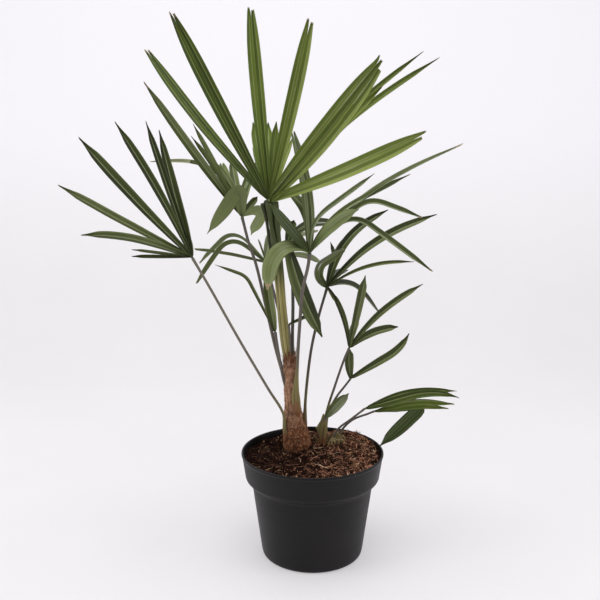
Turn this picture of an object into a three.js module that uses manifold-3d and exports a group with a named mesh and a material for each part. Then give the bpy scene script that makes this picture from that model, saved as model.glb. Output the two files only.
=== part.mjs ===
// Potted windmill palm, millimetres, +Z up.
// The origin is the centre of the pot's flat underside. The front is -Y, the right is +X.
// A young fan palm: one fibrous trunk with its crown, and a low side shoot beside it.
import * as THREE from 'three'
import Module from 'manifold-3d'

const wasm = await Module()
wasm.setup()

// Sizes of the pot: a 23 cm container with a collar.
const RIM_R = 114.5
const POT_H = 172
const FOOT_R = 82
const WALL = 2.2
const FLOOR = 3
const COLLAR_Z = 132
const COLLAR_R = 108
const STEP_Z = 122
const STEP_R = 97.5
const POT_SIDES = 40

// The soil, and the heap of bark chips at the back right.
const SOIL_Z = 164
const SOIL_SLOPE = 0.028
const HEAP_H = 10
const HEAP_X = 58
const HEAP_Y = 56
const HEAP_WIDE = 30
const SOIL_LUMP = 0.9

// Distance kept between neighbours.
const CLEAR = 0.3

// Detail smaller than this is smoothed out of a finished body.
const FINEST = 0.05

// The trunk: centre line from the flat foot to the tip, with the radius at each station.
const TRUNK = [
  { at: [-24, 42, 161.5], r: 24 },
  { at: [-25.3, 39, 176], r: 23 },
  { at: [-27, 36, 190], r: 21.5 },
  { at: [-28.4, 33.5, 203], r: 19.3 },
  { at: [-30.6, 31, 220], r: 16 },
  { at: [-33, 28, 246], r: 12 },
  { at: [-35.5, 24, 272], r: 10.8 },
  { at: [-35.5, 20, 300], r: 11 },
  { at: [-37, 17, 322], r: 7.5 }
]
const SHEATH_PITCH = 17
const SHEATH_STEP = 0.05
const TRUNK_SIDES = 16
const TRUNK_RINGS = 20

// The side shoot: a low crown at the soil with a short stem and dead stubs.
const SHOOT = {
  mound: { from: [8, 42, 161], to: [44, 44, 161], r: 8 },
  stem: { from: [14, 42, 160], to: [19, 42, 192], r0: 7, r1: 3.5 },
  stubFoot: 162,
  stubs: [
    { x: 24, y: 38, lean: 10, tall: 25, r: 2.8 },
    { x: 30, y: 38, lean: 12, tall: 27, r: 2.6 },
    { x: 36, y: 41, lean: 15, tall: 27, r: 2.6 },
    { x: 42, y: 42, lean: 30, tall: 21, r: 2.4 },
    { x: 28, y: 36, lean: -12, tall: 14, r: 2.4 },
    { x: 17, y: 42, lean: -17, tall: 36, r: 3 },
    { x: 10, y: 46, lean: -20, tall: 20, r: 3 }
  ]
}

// A leaflet is a folded strap. Its width runs from the root to the widest place and to the tip.
const ROOT_WIDE = 0.38
const TIP_WIDE = 0.3
const PEAK = 0.58
const FOLD = 0.26
const FOLD_MIN = 2.2
const THICK_PART = 0.0115
const THICK_MIN = 1.5
const LEAF_STEPS = 7
const STALK_SIDES = 6
const STALK_STEPS = 7
const STALK_WAIST = 0.3

// Each frond: a stalk that runs through the stated places to the hub, and leaflets round the hub.
// A leaflet sets out at `turn` degrees, seen from the front, with 0 to the right and 90 upright.
// It comes forward by `lean` degrees and is `long` and `wide`, and bends down by `bend` degrees
// with the middle of the bend at `knee`, over the part `soft` of its length. A minus bends it up.
const FRONDS = [
  {
    name: 'top_front', hub: [-65, -50, 576], face: [0, -1, 0.15], knuckle: 10, green: 'bright',
    stalk: [[-37, 17, 300], [-48, 6, 386], [-54, -14, 468], [-60, -38, 543]],
    r: [7.6, 7, 10.5],
    leaflets: [
      { turn: 134, lean: -20, long: 317, wide: 16.5, bend: 7 },
      { turn: 118, lean: 5, long: 293, wide: 20.5, bend: 2, tip: 0.22 },
      { turn: 96.5, lean: -8, long: 280, wide: 20, bend: 2, tip: 0.42 },
      { turn: 75.5, lean: 8, long: 258, wide: 20, bend: -2, tip: 0.42 },
      { turn: 49, lean: 20, long: 262, wide: 32, bend: -4, peak: 0.52 },
      { turn: 47.5, lean: -5, long: 324, wide: 9, bend: 16 },
      { turn: 21, lean: 25, long: 256, wide: 22, bend: -6 },
      { turn: 104, lean: -30, long: 135, wide: 14, bend: 2 },
      { turn: 92, lean: -38, long: 145, wide: 14, bend: 0 },
      { turn: 85, lean: -20, long: 122, wide: 12, bend: 0 },
      { turn: 108, lean: -50, long: 140, wide: 12, bend: 0 },
      { turn: 76, lean: -50, long: 150, wide: 16, bend: 10 },
      { turn: 50.5, lean: -5, long: 312, wide: 8, bend: 14 },
      { turn: 46, lean: 10, long: 228, wide: 11, bend: 2, tip: 0.5 }
    ]
  },
  {
    name: 'upper_left', hub: [-110, 15, 548], face: [0, -0.9, 0.5], knuckle: 5, green: 'dark',
    stalk: [[-38, 20, 262], [-60, 22, 341], [-73, 24, 398], [-89, 22, 471], [-100, 19, 506]],
    r: [3.4, 2.3, 2],
    leaflets: [
      { turn: 126, lean: 12, long: 245, wide: 13.5, bend: 3, peak: 0.45 },
      { turn: 117, lean: -5, long: 145, wide: 8, bend: -11 },
      { turn: 118, lean: -15, long: 167, wide: 8, bend: -2 },
      { turn: 110, lean: -10, long: 191, wide: 6.5, bend: -72, knee: 0.44, soft: 0.8 },
      { turn: 106, lean: -25, long: 102, wide: 12, bend: -25 },
      { turn: 92, lean: 15, long: 124, wide: 26, bend: -143, knee: 0.33, soft: 0.1, peak: 0.5, tip: 0.06 },
      { turn: 25, lean: 30, long: 80, wide: 20, bend: 146, knee: 0.46, soft: 0.4, peak: 0.7, tip: 0.06 },
      { turn: 104, lean: -38, long: 112, wide: 13, bend: 0 },
      { turn: 90, lean: -55, long: 150, wide: 16, bend: 30 },
      { turn: 50, lean: -20, long: 40, wide: 11, bend: 0 },
      { turn: 124, lean: -58, long: 170, wide: 17, bend: 10 }
    ]
  },
  {
    name: 'far_left', hub: [-177, -70, 495], face: [0.2, -1, 0.6], knuckle: 5, green: 'dark',
    stalk: [[-40, 24, 176], [-45, 20, 202], [-47, 15, 228], [-71, -6, 278], [-112, -35, 362],
      [-153, -60, 448]],
    r: [4.4, 2.1, 1.8],
    leaflets: [
      { turn: 150, lean: 15, long: 211, wide: 12, bend: 3 },
      { turn: 133, lean: 8, long: 229, wide: 15, bend: 4 },
      { turn: 114.5, lean: 0, long: 220, wide: 12.5, bend: -8 },
      { turn: 110, lean: -12, long: 212, wide: 10.5, bend: 1 },
      { turn: 107, lean: -17, long: 199, wide: 15, bend: 2, peak: 0.3 },
      { turn: 156, lean: 25, long: 164, wide: 12, bend: -28, knee: 0.7 },
      { turn: 171, lean: 12, long: 87, wide: 5, bend: 0 },
      { turn: 180, lean: -5, long: 90, wide: 6, bend: 0 },
      { turn: 141, lean: -75, long: 125, wide: 12, bend: 0 }
    ]
  },
  {
    name: 'back_left', hub: [-76, 80, 467], face: [0, 0.5, 1], knuckle: 5, green: 'dark',
    stalk: [[-38, 20, 300], [-51, 40, 378], [-66, 65, 432]],
    r: [2.8, 2.3, 2],
    leaflets: [
      { turn: 169, lean: -20, long: 133, wide: 9, bend: -7 },
      { turn: 142, lean: -5, long: 163, wide: 13, bend: -93, knee: 0.41, soft: 0.4 },
      { turn: 137, lean: -38, long: 207, wide: 11, bend: -88, knee: 0.42, soft: 0.4 },
      { turn: 77, lean: -80, long: 190, wide: 20, bend: -10 },
      { turn: 75, lean: -72, long: 205, wide: 22, bend: 10 },
      { turn: 42, lean: -58, long: 185, wide: 20, bend: 40 },
      { turn: 15, lean: -50, long: 150, wide: 16, bend: 50 },
      { turn: 108, lean: 0, long: 40, wide: 3, bend: 0 }
    ]
  },
  {
    name: 'narrow', hub: [-59.5, 8, 366.5], face: [0, -1, 0.3], knuckle: 4, green: 'dark',
    stalk: [[-41, 24, 264], [-47, 14.3, 289], [-51, 9.5, 312]],
    r: [2.6, 2.2, 2],
    leaflets: [
      { turn: 117, lean: -5, long: 151, wide: 5.5, bend: -44, knee: 0.65, soft: 0.2 },
      { turn: 100, lean: 6, long: 98, wide: 15, bend: 4, peak: 0.4 }
    ]
  },
  {
    name: 'front_right', hub: [-6, -80, 504], face: [0, -0.75, 1], knuckle: 6, green: 'pale',
    stalk: [[-24, 22, 216], [-24, 15, 250], [-25, 8, 276], [-24, 1, 319], [-20, -25, 392],
      [-16, -52, 444], [-8, -72, 484]],
    r: [6, 2.5, 2.2],
    leaflets: [
      { turn: 141, lean: 20, long: 110, wide: 25, bend: -122, knee: 0.37, soft: 0.9, peak: 0.5 },
      { turn: 132, lean: 5, long: 90, wide: 20, bend: 6, peak: 0.4, tip: 0.2 },
      { turn: 90, lean: -25, long: 195, wide: 17, bend: -17, peak: 0.35 },
      { turn: 91, lean: -30, long: 112, wide: 15, bend: -45, knee: 0.56, soft: 0.67 },
      { turn: 69, lean: 15, long: 188, wide: 8, bend: 41, knee: 0.28, soft: 0.8, peak: 0.6, tip: 0.15 },
      { turn: 55, lean: 15, long: 266, wide: 8, bend: 29, knee: 0.38, peak: 0.35, tip: 0.2 },
      { turn: 90, lean: -5, long: 155, wide: 7, bend: 54, knee: 0.27, soft: 0.5 },
      { turn: 44, lean: 10, long: 215, wide: 10, bend: 80, knee: 0.37, soft: 0.3 },
      { turn: 44, lean: 5, long: 191, wide: 10, bend: 64, knee: 0.58, soft: 0.3, peak: 0.7 },
      { turn: 58, lean: 30, long: 109, wide: 26, bend: 27, peak: 0.5, tip: 0.2 }
    ]
  },
  {
    name: 'drooping', hub: [-40, -15, 512], face: [-0.2, -1, 0.3], knuckle: 5, green: 'dark',
    stalk: [[-31.5, 18, 302], [-32, 8, 353], [-31, -4, 419], [-33, -12, 475]],
    r: [2.8, 2.4, 2.2],
    leaflets: [
      { turn: -76, lean: 5, long: 157, wide: 24, bend: -13, peak: 0.45 },
      { turn: 70, lean: -25, long: 36, wide: 14, bend: 0 },
      { turn: 40, lean: -45, long: 130, wide: 18, bend: 60 }
    ]
  },
  {
    name: 'small_spear', hub: [-37.2, -4, 380.4], face: [0, -1, 1], knuckle: 3, green: 'dark',
    stalk: [[-35, 12, 316], [-35.5, 5, 350]],
    r: [1.6, 1.5, 1.4],
    leaflets: [
      { turn: 24, lean: 5, long: 42, wide: 7, bend: -5 }
    ]
  },
  {
    name: 'middle_right', hub: [23, 20, 436], face: [0, -0.9, 0.7], knuckle: 5, green: 'dark',
    stalk: [[-12, 33, 180], [-12, 27.5, 222], [-10.5, 25, 257], [-2, 24, 333], [9, 22, 385]],
    r: [4.6, 2.2, 1.9],
    leaflets: [
      { turn: 75, lean: -15, long: 167, wide: 13.5, bend: 50, peak: 0.38 },
      { turn: 48, lean: -5, long: 211, wide: 13, bend: 30 },
      { turn: 35, lean: 10, long: 145, wide: 6.5, bend: 34 },
      { turn: 44, lean: -30, long: 133, wide: 13, bend: 97, knee: 0.21, peak: 0.35, tip: 0.12 },
      { turn: 147, lean: 10, long: 90, wide: 21, bend: 114, knee: 0.33, soft: 0.7, peak: 0.5 },
      { turn: 61, lean: -30, long: 81, wide: 7, bend: -48 },
      { turn: -57, lean: 20, long: 30, wide: 7, bend: 0 },
      { turn: 70, lean: -60, long: 170, wide: 16, bend: 30 },
      { turn: 30, lean: -75, long: 165, wide: 16, bend: 50 }
    ]
  },
  {
    name: 'low_right', hub: [60, 40, 332], face: [0, -0.8, 0.7], knuckle: 4, green: 'dark',
    stalk: [[17, 41, 166], [24, 41, 222], [38, 42, 269], [53, 41, 315]],
    r: [3, 1.9, 1.7],
    leaflets: [
      { turn: 96, lean: -10, long: 98, wide: 9, bend: -23 },
      { turn: 79, lean: 15, long: 132, wide: 13, bend: -2, peak: 0.7 },
      { turn: 54, lean: 5, long: 160, wide: 11, bend: 22 },
      { turn: 37, lean: -10, long: 90, wide: 14, bend: 32 },
      { turn: 60, lean: -75, long: 120, wide: 13, bend: 30 }
    ]
  },
  {
    name: 'low_pair', hub: [64, 52, 277], face: [0, -0.8, 0.6], knuckle: 3.5, green: 'dark',
    stalk: [[22, 45, 164], [27, 53, 216], [41, 54, 245], [54, 53, 263]],
    r: [2.4, 1.8, 1.6],
    leaflets: [
      { turn: 100, lean: -4, long: 50, wide: 15, bend: 15 },
      { turn: 30, lean: -5, long: 125, wide: 13.5, bend: -38, knee: 0.8, soft: 0.6, peak: 0.5 }
    ]
  },
  {
    name: 'young', hub: [23, 30, 218], face: [0.3, -1, 0.2], knuckle: 3, green: 'pale',
    stalk: [[12, 37, 168], [16, 32, 198]],
    r: [2.2, 2, 1.8],
    leaflets: [
      { turn: 57, lean: 10, long: 58, wide: 18, bend: 13, peak: 0.45, tip: 0.1 }
    ]
  },
  {
    name: 'rim_upper', hub: [86, 25, 234], face: [0, -1, 0.2], knuckle: 3.5, green: 'bright',
    stalk: [[32, 36, 167], [42, 30, 196], [66, 27, 217]],
    r: [2.2, 1.7, 1.6],
    leaflets: [
      { turn: 23, lean: -8, long: 160, wide: 11, bend: 27, knee: 0.46, soft: 0.8, peak: 0.45, tip: 0.12 },
      { turn: 20, lean: 10, long: 157, wide: 13, bend: 50, knee: 0.82, soft: 0.9, peak: 0.4, tip: 0.12 }
    ]
  },
  {
    name: 'rim_lower', hub: [104, 45, 223], face: [0, -1, -0.3], knuckle: 3.5, green: 'bright',
    stalk: [[41, 46, 166], [50, 50, 188], [68, 48, 207], [93, 46, 218]],
    r: [2.2, 1.7, 1.6],
    leaflets: [
      { turn: 21, lean: 8, long: 133, wide: 13, bend: 26, soft: 0.8, peak: 0.42, tip: 0.12 },
      { turn: 8, lean: -2, long: 125, wide: 11, bend: 22, knee: 0.69, soft: 0.8, peak: 0.45, tip: 0.12 },
      { turn: 7, lean: -8, long: 178, wide: 24, bend: 139.5, knee: 0.425, soft: 0.14, peak: 0.64, tip: 0.1 }
    ]
  }
]

const COLOURS = {
  pot: 0x37363a,
  soil: 0x4a2f22,
  trunk: 0x9a5f3c,
  shoot: 0x77703c,
  stalk: 0x7f8a4a,
  bright: 0x5f7a38,
  dark: 0x3d4f2b,
  pale: 0x66774a
}

const add = (a, b, k = 1) => a.map((v, i) => v + b[i] * k)
const dot = (a, b) => a[0] * b[0] + a[1] * b[1] + a[2] * b[2]
const unit = a => a.map(v => v / Math.sqrt(dot(a, a)))
const cross = (a, b) => [
  a[1] * b[2] - a[2] * b[1],
  a[2] * b[0] - a[0] * b[2],
  a[0] * b[1] - a[1] * b[0]
]
const rad = d => d * Math.PI / 180
const ease = u => {
  const v = Math.min(1, Math.max(0, u))
  return v * v * (3 - 2 * v)
}

// A closed body from rings of equal size, ring after ring, with its ends closed.
function loft (rings) {
  const n = rings[0].length
  const points = rings.flat()
  const tris = []
  for (let i = 0; i + 1 < rings.length; i++) {
    for (let j = 0; j < n; j++) {
      const a = i * n + j
      const b = i * n + (j + 1) % n
      tris.push([a, b, b + n], [a, b + n, a + n])
    }
  }
  const last = (rings.length - 1) * n
  const foot = points.push(centre(rings[0])) - 1
  const head = points.push(centre(rings[rings.length - 1])) - 1
  for (let j = 0; j < n; j++) {
    const k = (j + 1) % n
    tris.push([foot, k, j], [head, last + j, last + k])
  }
  return solid(points, tris)
}

function centre (ring) {
  let sum = [0, 0, 0]
  for (const p of ring) sum = add(sum, p)
  return sum.map(v => v / ring.length)
}

function solid (points, tris) {
  const mesh = new wasm.Mesh({
    numProp: 3,
    vertProperties: new Float32Array(points.flat()),
    triVerts: new Uint32Array(tris.flat())
  })
  return new wasm.Manifold(mesh)
}

// Directions along a line of points, and a crosswise pair that is carried along it unturned.
function frames (line, start) {
  let up = start
  return line.map((p, i) => {
    const a = line[Math.max(0, i - 1)]
    const b = line[Math.min(line.length - 1, i + 1)]
    const t = unit(add(b, a, -1))
    up = unit(add(up, t, -dot(up, t)))
    return { p, t, up, side: cross(t, up) }
  })
}

// A round limb along a smooth curve through the places; radii at its foot, waist and tip.
function limb (places, radii, grow = 0, sides = STALK_SIDES, steps = STALK_STEPS, waist = 0.5) {
  const curve = new THREE.CatmullRomCurve3(places.map(p => new THREE.Vector3(...p)), false, 'centripetal')
  const line = curve.getPoints(steps).map(v => [v.x, v.y, v.z])
  const rings = frames(line, [1, 0.01, 0]).map((f, i) => {
    const u = i / steps
    const low = Math.max(0, 1 - u / waist)
    const high = Math.max(0, (u - waist) / (1 - waist))
    const r = radii[0] * low + radii[1] * (1 - low - high) + radii[2] * high + grow
    return ring(f, r, sides)
  })
  return loft(rings)
}

function ring (f, r, sides) {
  const out = []
  for (let j = 0; j < sides; j++) {
    const a = 2 * Math.PI * j / sides
    const c = r * Math.cos(a)
    const s = r * Math.sin(a)
    out.push(f.p.map((v, k) => v + f.side[k] * s + f.up[k] * c))
  }
  return out
}

// The middle line of a leaflet: it starts in its direction and turns down at the knee.
function leafLine (hub, leaf) {
  const knee = leaf.knee ?? 0.5
  const soft = leaf.soft ?? 1
  const fine = 6 * LEAF_STEPS
  const line = [hub]
  let p = hub
  for (let i = 0; i < fine; i++) {
    const s = (i + 0.5) / fine
    const a = rad(leaf.turn - leaf.bend * ease((s - knee) / soft + 0.5))
    const l = rad(leaf.lean)
    const d = [Math.cos(a) * Math.cos(l), -Math.sin(l), Math.sin(a) * Math.cos(l)]
    p = add(p, d, leaf.long / fine)
    if ((i + 1) % 6 === 0) line.push(p)
  }
  return line
}

// How wide a leaflet is at the part s of its length.
function leafWidth (leaf, s) {
  const peak = leaf.peak ?? PEAK
  const tip = leaf.tip ?? TIP_WIDE
  if (s < peak) return ROOT_WIDE + (1 - ROOT_WIDE) * Math.sin(0.5 * Math.PI * s / peak)
  return tip + (1 - tip) * Math.cos(0.5 * Math.PI * ((s - peak) / (1 - peak)) ** 1.7)
}

// A leaflet is folded along its middle line, edges towards the side that it faces.
function leaflet (frond, leaf, grow = 0) {
  const line = leafLine(frond.hub, leaf)
  const thick = Math.max(THICK_MIN, THICK_PART * leaf.long)
  const rings = frames(line, frond.face).map((f, i) => {
    const w = leaf.wide * leafWidth(leaf, i / LEAF_STEPS)
    const x = w / 2 + grow
    const edge = (FOLD * w + FOLD_MIN) / 2
    const at = (across, out) => f.p.map((v, k) => v + f.side[k] * across + f.up[k] * out)
    return [at(x, edge), at(0, -edge - thick - grow), at(-x, edge), at(0, -edge + grow)]
  })
  return loft(rings)
}

// A small ball of `sides` by half as many facets, where the leaflets meet.
function knuckle (at, r) {
  const sides = 6
  const f = { p: at, side: [1, 0, 0], up: [0, 1, 0] }
  const rings = []
  for (let i = 1; i < 5; i++) {
    const a = Math.PI * i / 5
    const g = { ...f, p: add(at, [0, 0, -r * Math.cos(a)]) }
    rings.push(ring(g, r * Math.sin(a), sides).reverse())
  }
  return loft(rings)
}

function biggest (body) {
  const parts = body.decompose()
  if (parts.length < 2) return body
  return parts.sort((a, b) => b.volume() - a.volume())[0]
}

// Everything built so far, a little grown. A new piece is cut clear of what it meets.
const grown = []
function clearOf (body, list = grown) {
  const box = body.boundingBox()
  for (const other of list) {
    const b = other.boundingBox()
    const apart = [0, 1, 2].some(k => b.min[k] > box.max[k] || b.max[k] < box.min[k])
    if (!apart) body = body.subtract(other)
  }
  return biggest(body)
}

const group = new THREE.Group()
group.name = 'potted_windmill_palm'

function place (name, body, colour, rough) {
  const mesh = body.simplify(FINEST).getMesh()
  const geometry = new THREE.BufferGeometry()
  const step = mesh.numProp
  const flat = []
  for (let i = 0; i < mesh.vertProperties.length; i += step) {
    flat.push(mesh.vertProperties[i], mesh.vertProperties[i + 1], mesh.vertProperties[i + 2])
  }
  geometry.setAttribute('position', new THREE.Float32BufferAttribute(flat, 3))
  geometry.setIndex(Array.from(mesh.triVerts))
  geometry.computeVertexNormals()
  const material = new THREE.MeshStandardMaterial({ color: colour, roughness: rough })
  const node = new THREE.Mesh(geometry, material)
  node.name = name
  group.add(node)
}

// A body turned round Z from a closed outline of [radius, height].
function turned (outline, sides) {
  const points = []
  const tris = []
  const first = outline[0]
  const last = outline[outline.length - 1]
  const rows = outline.slice(1, -1)
  for (const [r, z] of rows) {
    for (let j = 0; j < sides; j++) {
      const a = 2 * Math.PI * j / sides
      points.push([r * Math.cos(a), r * Math.sin(a), z])
    }
  }
  for (let i = 0; i + 1 < rows.length; i++) {
    for (let j = 0; j < sides; j++) {
      const a = i * sides + j
      const b = i * sides + (j + 1) % sides
      tris.push([a, b, b + sides], [a, b + sides, a + sides])
    }
  }
  const foot = points.push([0, 0, first[1]]) - 1
  const head = points.push([0, 0, last[1]]) - 1
  const top = (rows.length - 1) * sides
  for (let j = 0; j < sides; j++) {
    const k = (j + 1) % sides
    tris.push([foot, k, j], [head, top + j, top + k])
  }
  return { points, tris }
}

// The pot: outside from the underside to the rim, then inside down to the floor.
const potOutside = [
  [FOOT_R - 6, 0], [FOOT_R - 1.8, 1.6], [FOOT_R, 5.5], [STEP_R, STEP_Z],
  [STEP_R + 3.5, STEP_Z + 3], [COLLAR_R - 1.5, COLLAR_Z - 3], [COLLAR_R, COLLAR_Z],
  [RIM_R - 1.4, POT_H - 5], [RIM_R, POT_H - 3.6], [RIM_R - 0.3, POT_H - 0.6], [RIM_R - 1, POT_H]
]
const potInside = [
  [RIM_R - 2.6, POT_H], [RIM_R - 1.4 - WALL, POT_H - 3], [COLLAR_R - WALL, COLLAR_Z + 1],
  [COLLAR_R - 1.5 - WALL, COLLAR_Z - 2], [STEP_R + 3.5 - WALL, STEP_Z + 4],
  [STEP_R - WALL, STEP_Z + 1], [FOOT_R - WALL, 8], [FOOT_R - 4.5, FLOOR]
]
const pot = turned([[0, 0], ...potOutside, ...potInside, [0, FLOOR]], POT_SIDES)
const potBody = solid(pot.points, pot.tris)

// Height of the soil at a place: a slope up to the right, the heap, and lumps.
function soilHeight (x, y) {
  const d = ((x - HEAP_X) ** 2 + (y - HEAP_Y) ** 2) / (2 * HEAP_WIDE ** 2)
  const lumps = Math.sin(0.19 * x + 1.1) * Math.cos(0.23 * y) + Math.sin(0.37 * x - 0.31 * y)
  return SOIL_Z + SOIL_SLOPE * x + HEAP_H * Math.exp(-d) + SOIL_LUMP * lumps
}

function soilBody (grow = 0) {
  const inside = potInside.slice(1).reverse()
  const inner = inside.map(([r, z]) => [r - CLEAR, z])
  const wall = inner.slice(0, -1)
  wall[0] = [wall[0][0], FLOOR + CLEAR]
  const slope = (RIM_R - 1.4 - COLLAR_R) / (POT_H - 4 - COLLAR_Z)
  const rimAt = z => COLLAR_R - WALL - CLEAR + slope * (z - COLLAR_Z - 1)
  const parts = [1, 0.82, 0.64, 0.46, 0.3, 0.15]
  const sides = 32
  const points = []
  const row = (r, z) => {
    for (let j = 0; j < sides; j++) {
      const a = 2 * Math.PI * j / sides
      const x = r(a) * Math.cos(a)
      const y = r(a) * Math.sin(a)
      points.push([x, y, z(x, y)])
    }
  }
  const facet = Math.cos(Math.PI / POT_SIDES)
  for (const [r, z] of wall) row(() => r * facet, () => z)
  const edge = a => {
    const guess = rimAt(SOIL_Z)
    const z = soilHeight(guess * Math.cos(a), guess * Math.sin(a))
    return rimAt(z) * facet
  }
  for (const part of parts) row(a => edge(a) * part, (x, y) => soilHeight(x, y) + grow)
  const rows = wall.length + parts.length
  const tris = []
  for (let i = 0; i + 1 < rows; i++) {
    for (let j = 0; j < sides; j++) {
      const a = i * sides + j
      const b = i * sides + (j + 1) % sides
      tris.push([a, b, b + sides], [a, b + sides, a + sides])
    }
  }
  const foot = points.push([0, 0, FLOOR + CLEAR]) - 1
  const head = points.push([0, 0, soilHeight(0, 0) + grow]) - 1
  for (let j = 0; j < sides; j++) {
    const k = (j + 1) % sides
    tris.push([foot, k, j], [head, (rows - 1) * sides + j, (rows - 1) * sides + k])
  }
  return solid(points, tris)
}

// The trunk: rings along its lean, with the steps that old leaf sheaths leave.
function trunkBody (grow = 0) {
  const curve = new THREE.CatmullRomCurve3(TRUNK.map(s => new THREE.Vector3(...s.at)))
  const rings = []
  for (let i = 0; i <= TRUNK_RINGS; i++) {
    const u = i / TRUNK_RINGS
    const v = curve.getPoint(u)
    const at = [v.x, v.y, v.z]
    const place = u * (TRUNK.length - 1)
    const low = Math.min(TRUNK.length - 2, Math.floor(place))
    const mix = place - low
    const r = TRUNK[low].r * (1 - mix) + TRUNK[low + 1].r * mix
    const out = []
    for (let j = 0; j < TRUNK_SIDES; j++) {
      const a = 2 * Math.PI * j / TRUNK_SIDES
      const lift = at[2] + 6 * Math.cos(a) + 4 * Math.sin(2 * a)
      const step = (lift / SHEATH_PITCH) % 1
      const reach = r * (1 - SHEATH_STEP * step) + grow
      out.push([at[0] + reach * Math.cos(a), at[1] + reach * Math.sin(a), at[2]])
    }
    rings.push(out)
  }
  if (grow) {
    rings[0] = rings[0].map(([x, y, z]) => [x, y, z - grow])
    rings[TRUNK_RINGS] = rings[TRUNK_RINGS].map(([x, y, z]) => [x, y, z + grow])
  }
  return loft(rings)
}

// The side shoot: a low crown, a short stem and curved dead stubs, fused.
function shootBody (grow = 0) {
  const { mound, stem, stubFoot, stubs } = SHOOT
  const middle = mound.from.map((v, k) => (v + mound.to[k]) / 2 + (k === 2 ? 2 : 0))
  let body = limb([mound.from, middle, mound.to], [mound.r * 0.6, mound.r, mound.r * 0.6], grow, 8, 6)
  body = body.add(limb([stem.from, stem.to], [stem.r0, (stem.r0 + stem.r1) / 2, stem.r1], grow, 8, 4))
  for (const s of stubs) {
    const dx = s.tall * Math.sin(rad(s.lean))
    const foot = [s.x, s.y, stubFoot]
    const waist = [s.x + 0.3 * dx, s.y, stubFoot + 0.55 * s.tall]
    const tip = [s.x + dx, s.y - 2, stubFoot + 0.95 * s.tall]
    body = body.add(limb([foot, waist, tip], [1.2 * s.r, 0.8 * s.r, 0.5 * s.r], grow, 6, 5))
  }
  return biggest(body)
}

// The pot first, then the trunk and the shoot, and soil that leaves room for both.
place('pot', potBody, COLOURS.pot, 0.5)
const trunkGrown = trunkBody(CLEAR)
const shootGrown = shootBody(CLEAR)
place('trunk', trunkBody(), COLOURS.trunk, 0.9)
const shoot = clearOf(shootBody(), [trunkGrown])
place('side_shoot', shoot, COLOURS.shoot, 0.8)
place('soil', clearOf(soilBody(), [trunkGrown, shootGrown]), COLOURS.soil, 1)
grown.push(trunkGrown, shootGrown, soilBody(CLEAR))

// A stalk ends in the knuckle, halfway to the hub. Its grown copy goes on a little further.
function stalkBody (f, grow = 0) {
  const back = unit(add(f.stalk[f.stalk.length - 1], f.hub, -1))
  const end = add(f.hub, back, f.knuckle / 2 - grow)
  return limb([...f.stalk, end], f.r, grow, STALK_SIDES, STALK_STEPS, STALK_WAIST)
}

// A blade is its leaflets fused round the hub.
function bladeBody (f, grow = 0) {
  let body = knuckle(f.hub, f.knuckle + grow)
  for (const leaf of f.leaflets) body = body.add(leaflet(f, leaf, grow))
  return body
}

// Stalks next: each is cut clear of the trunk, the soil and the stalks before it.
for (const f of FRONDS) {
  place(f.name + '_stalk', clearOf(stalkBody(f)), COLOURS.stalk, 0.6)
  grown.push(stalkBody(f, CLEAR))
}
for (const f of FRONDS) {
  place(f.name + '_blade', clearOf(bladeBody(f)), COLOURS[f.green], 0.55)
  grown.push(bladeBody(f, CLEAR))
}

export default group
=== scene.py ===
# %% [markdown]
# # A potted windmill palm
# The plant is a young fan palm in a round nursery pot. The CAD model gives every place and size, in
# metres, with the pot's flat underside at the origin. This file dresses that frame: it swaps the plain
# solids for finer leaflets, stalks, fibre and soil that follow the same sizes, and gives each a finish.

# %% Load the frame
import bpy
import numpy as np
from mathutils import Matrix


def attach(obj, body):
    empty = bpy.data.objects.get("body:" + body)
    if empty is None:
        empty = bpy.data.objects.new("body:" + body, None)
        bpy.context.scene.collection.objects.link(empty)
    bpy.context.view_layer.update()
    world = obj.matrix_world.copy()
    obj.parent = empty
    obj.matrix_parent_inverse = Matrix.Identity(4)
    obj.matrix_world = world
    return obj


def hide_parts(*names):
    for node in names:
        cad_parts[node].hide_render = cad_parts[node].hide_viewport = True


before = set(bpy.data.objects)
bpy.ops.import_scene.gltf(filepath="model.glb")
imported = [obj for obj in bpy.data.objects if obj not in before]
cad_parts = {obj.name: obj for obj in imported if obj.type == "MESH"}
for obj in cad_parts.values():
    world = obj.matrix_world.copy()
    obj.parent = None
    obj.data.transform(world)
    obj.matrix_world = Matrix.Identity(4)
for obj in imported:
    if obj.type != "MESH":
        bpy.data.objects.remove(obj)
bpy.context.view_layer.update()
MM = 0.001
rng = np.random.default_rng(7)
print("nodes in the frame:", len(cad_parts))

# %% [markdown]
# ## Camera
# The picture was taken from a little over a metre away, slightly looking down. A 48 mm lens on a 36 mm
# wide frame gives the same perspective. The camera goes in before anything is made, so that each piece
# can be judged from the same place as it is added.

# %% Camera
CAMERA_AT = (-0.020, -1.225, 0.648)
CAMERA_DOWN = 10.6
scene = bpy.context.scene
lens = bpy.data.cameras.new("camera")
lens.lens = 48
lens.sensor_width = 36
camera = bpy.data.objects.new("camera", lens)
camera.location = CAMERA_AT
camera.rotation_euler = (np.radians(90 - CAMERA_DOWN), 0, 0)
scene.collection.objects.link(camera)
scene.camera = camera
print("camera", CAMERA_AT, "down", CAMERA_DOWN)

# %% [markdown]
# ## Light and floor
# The picture has an even, pale background and very soft shadows, as under a light tent. One large floor
# that curves up behind the plant gives both floor and backdrop. Big area lights stand in for the tent:
# the larger a light is, the softer its shadow.

# %% Light
scene.view_settings.view_transform = "Standard"
world = bpy.data.worlds.new("tent")
scene.world = world
world.use_nodes = True
world.node_tree.nodes["Background"].inputs["Color"].default_value = (0.90, 0.90, 0.94, 1)
world.node_tree.nodes["Background"].inputs["Strength"].default_value = 0.3


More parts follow.
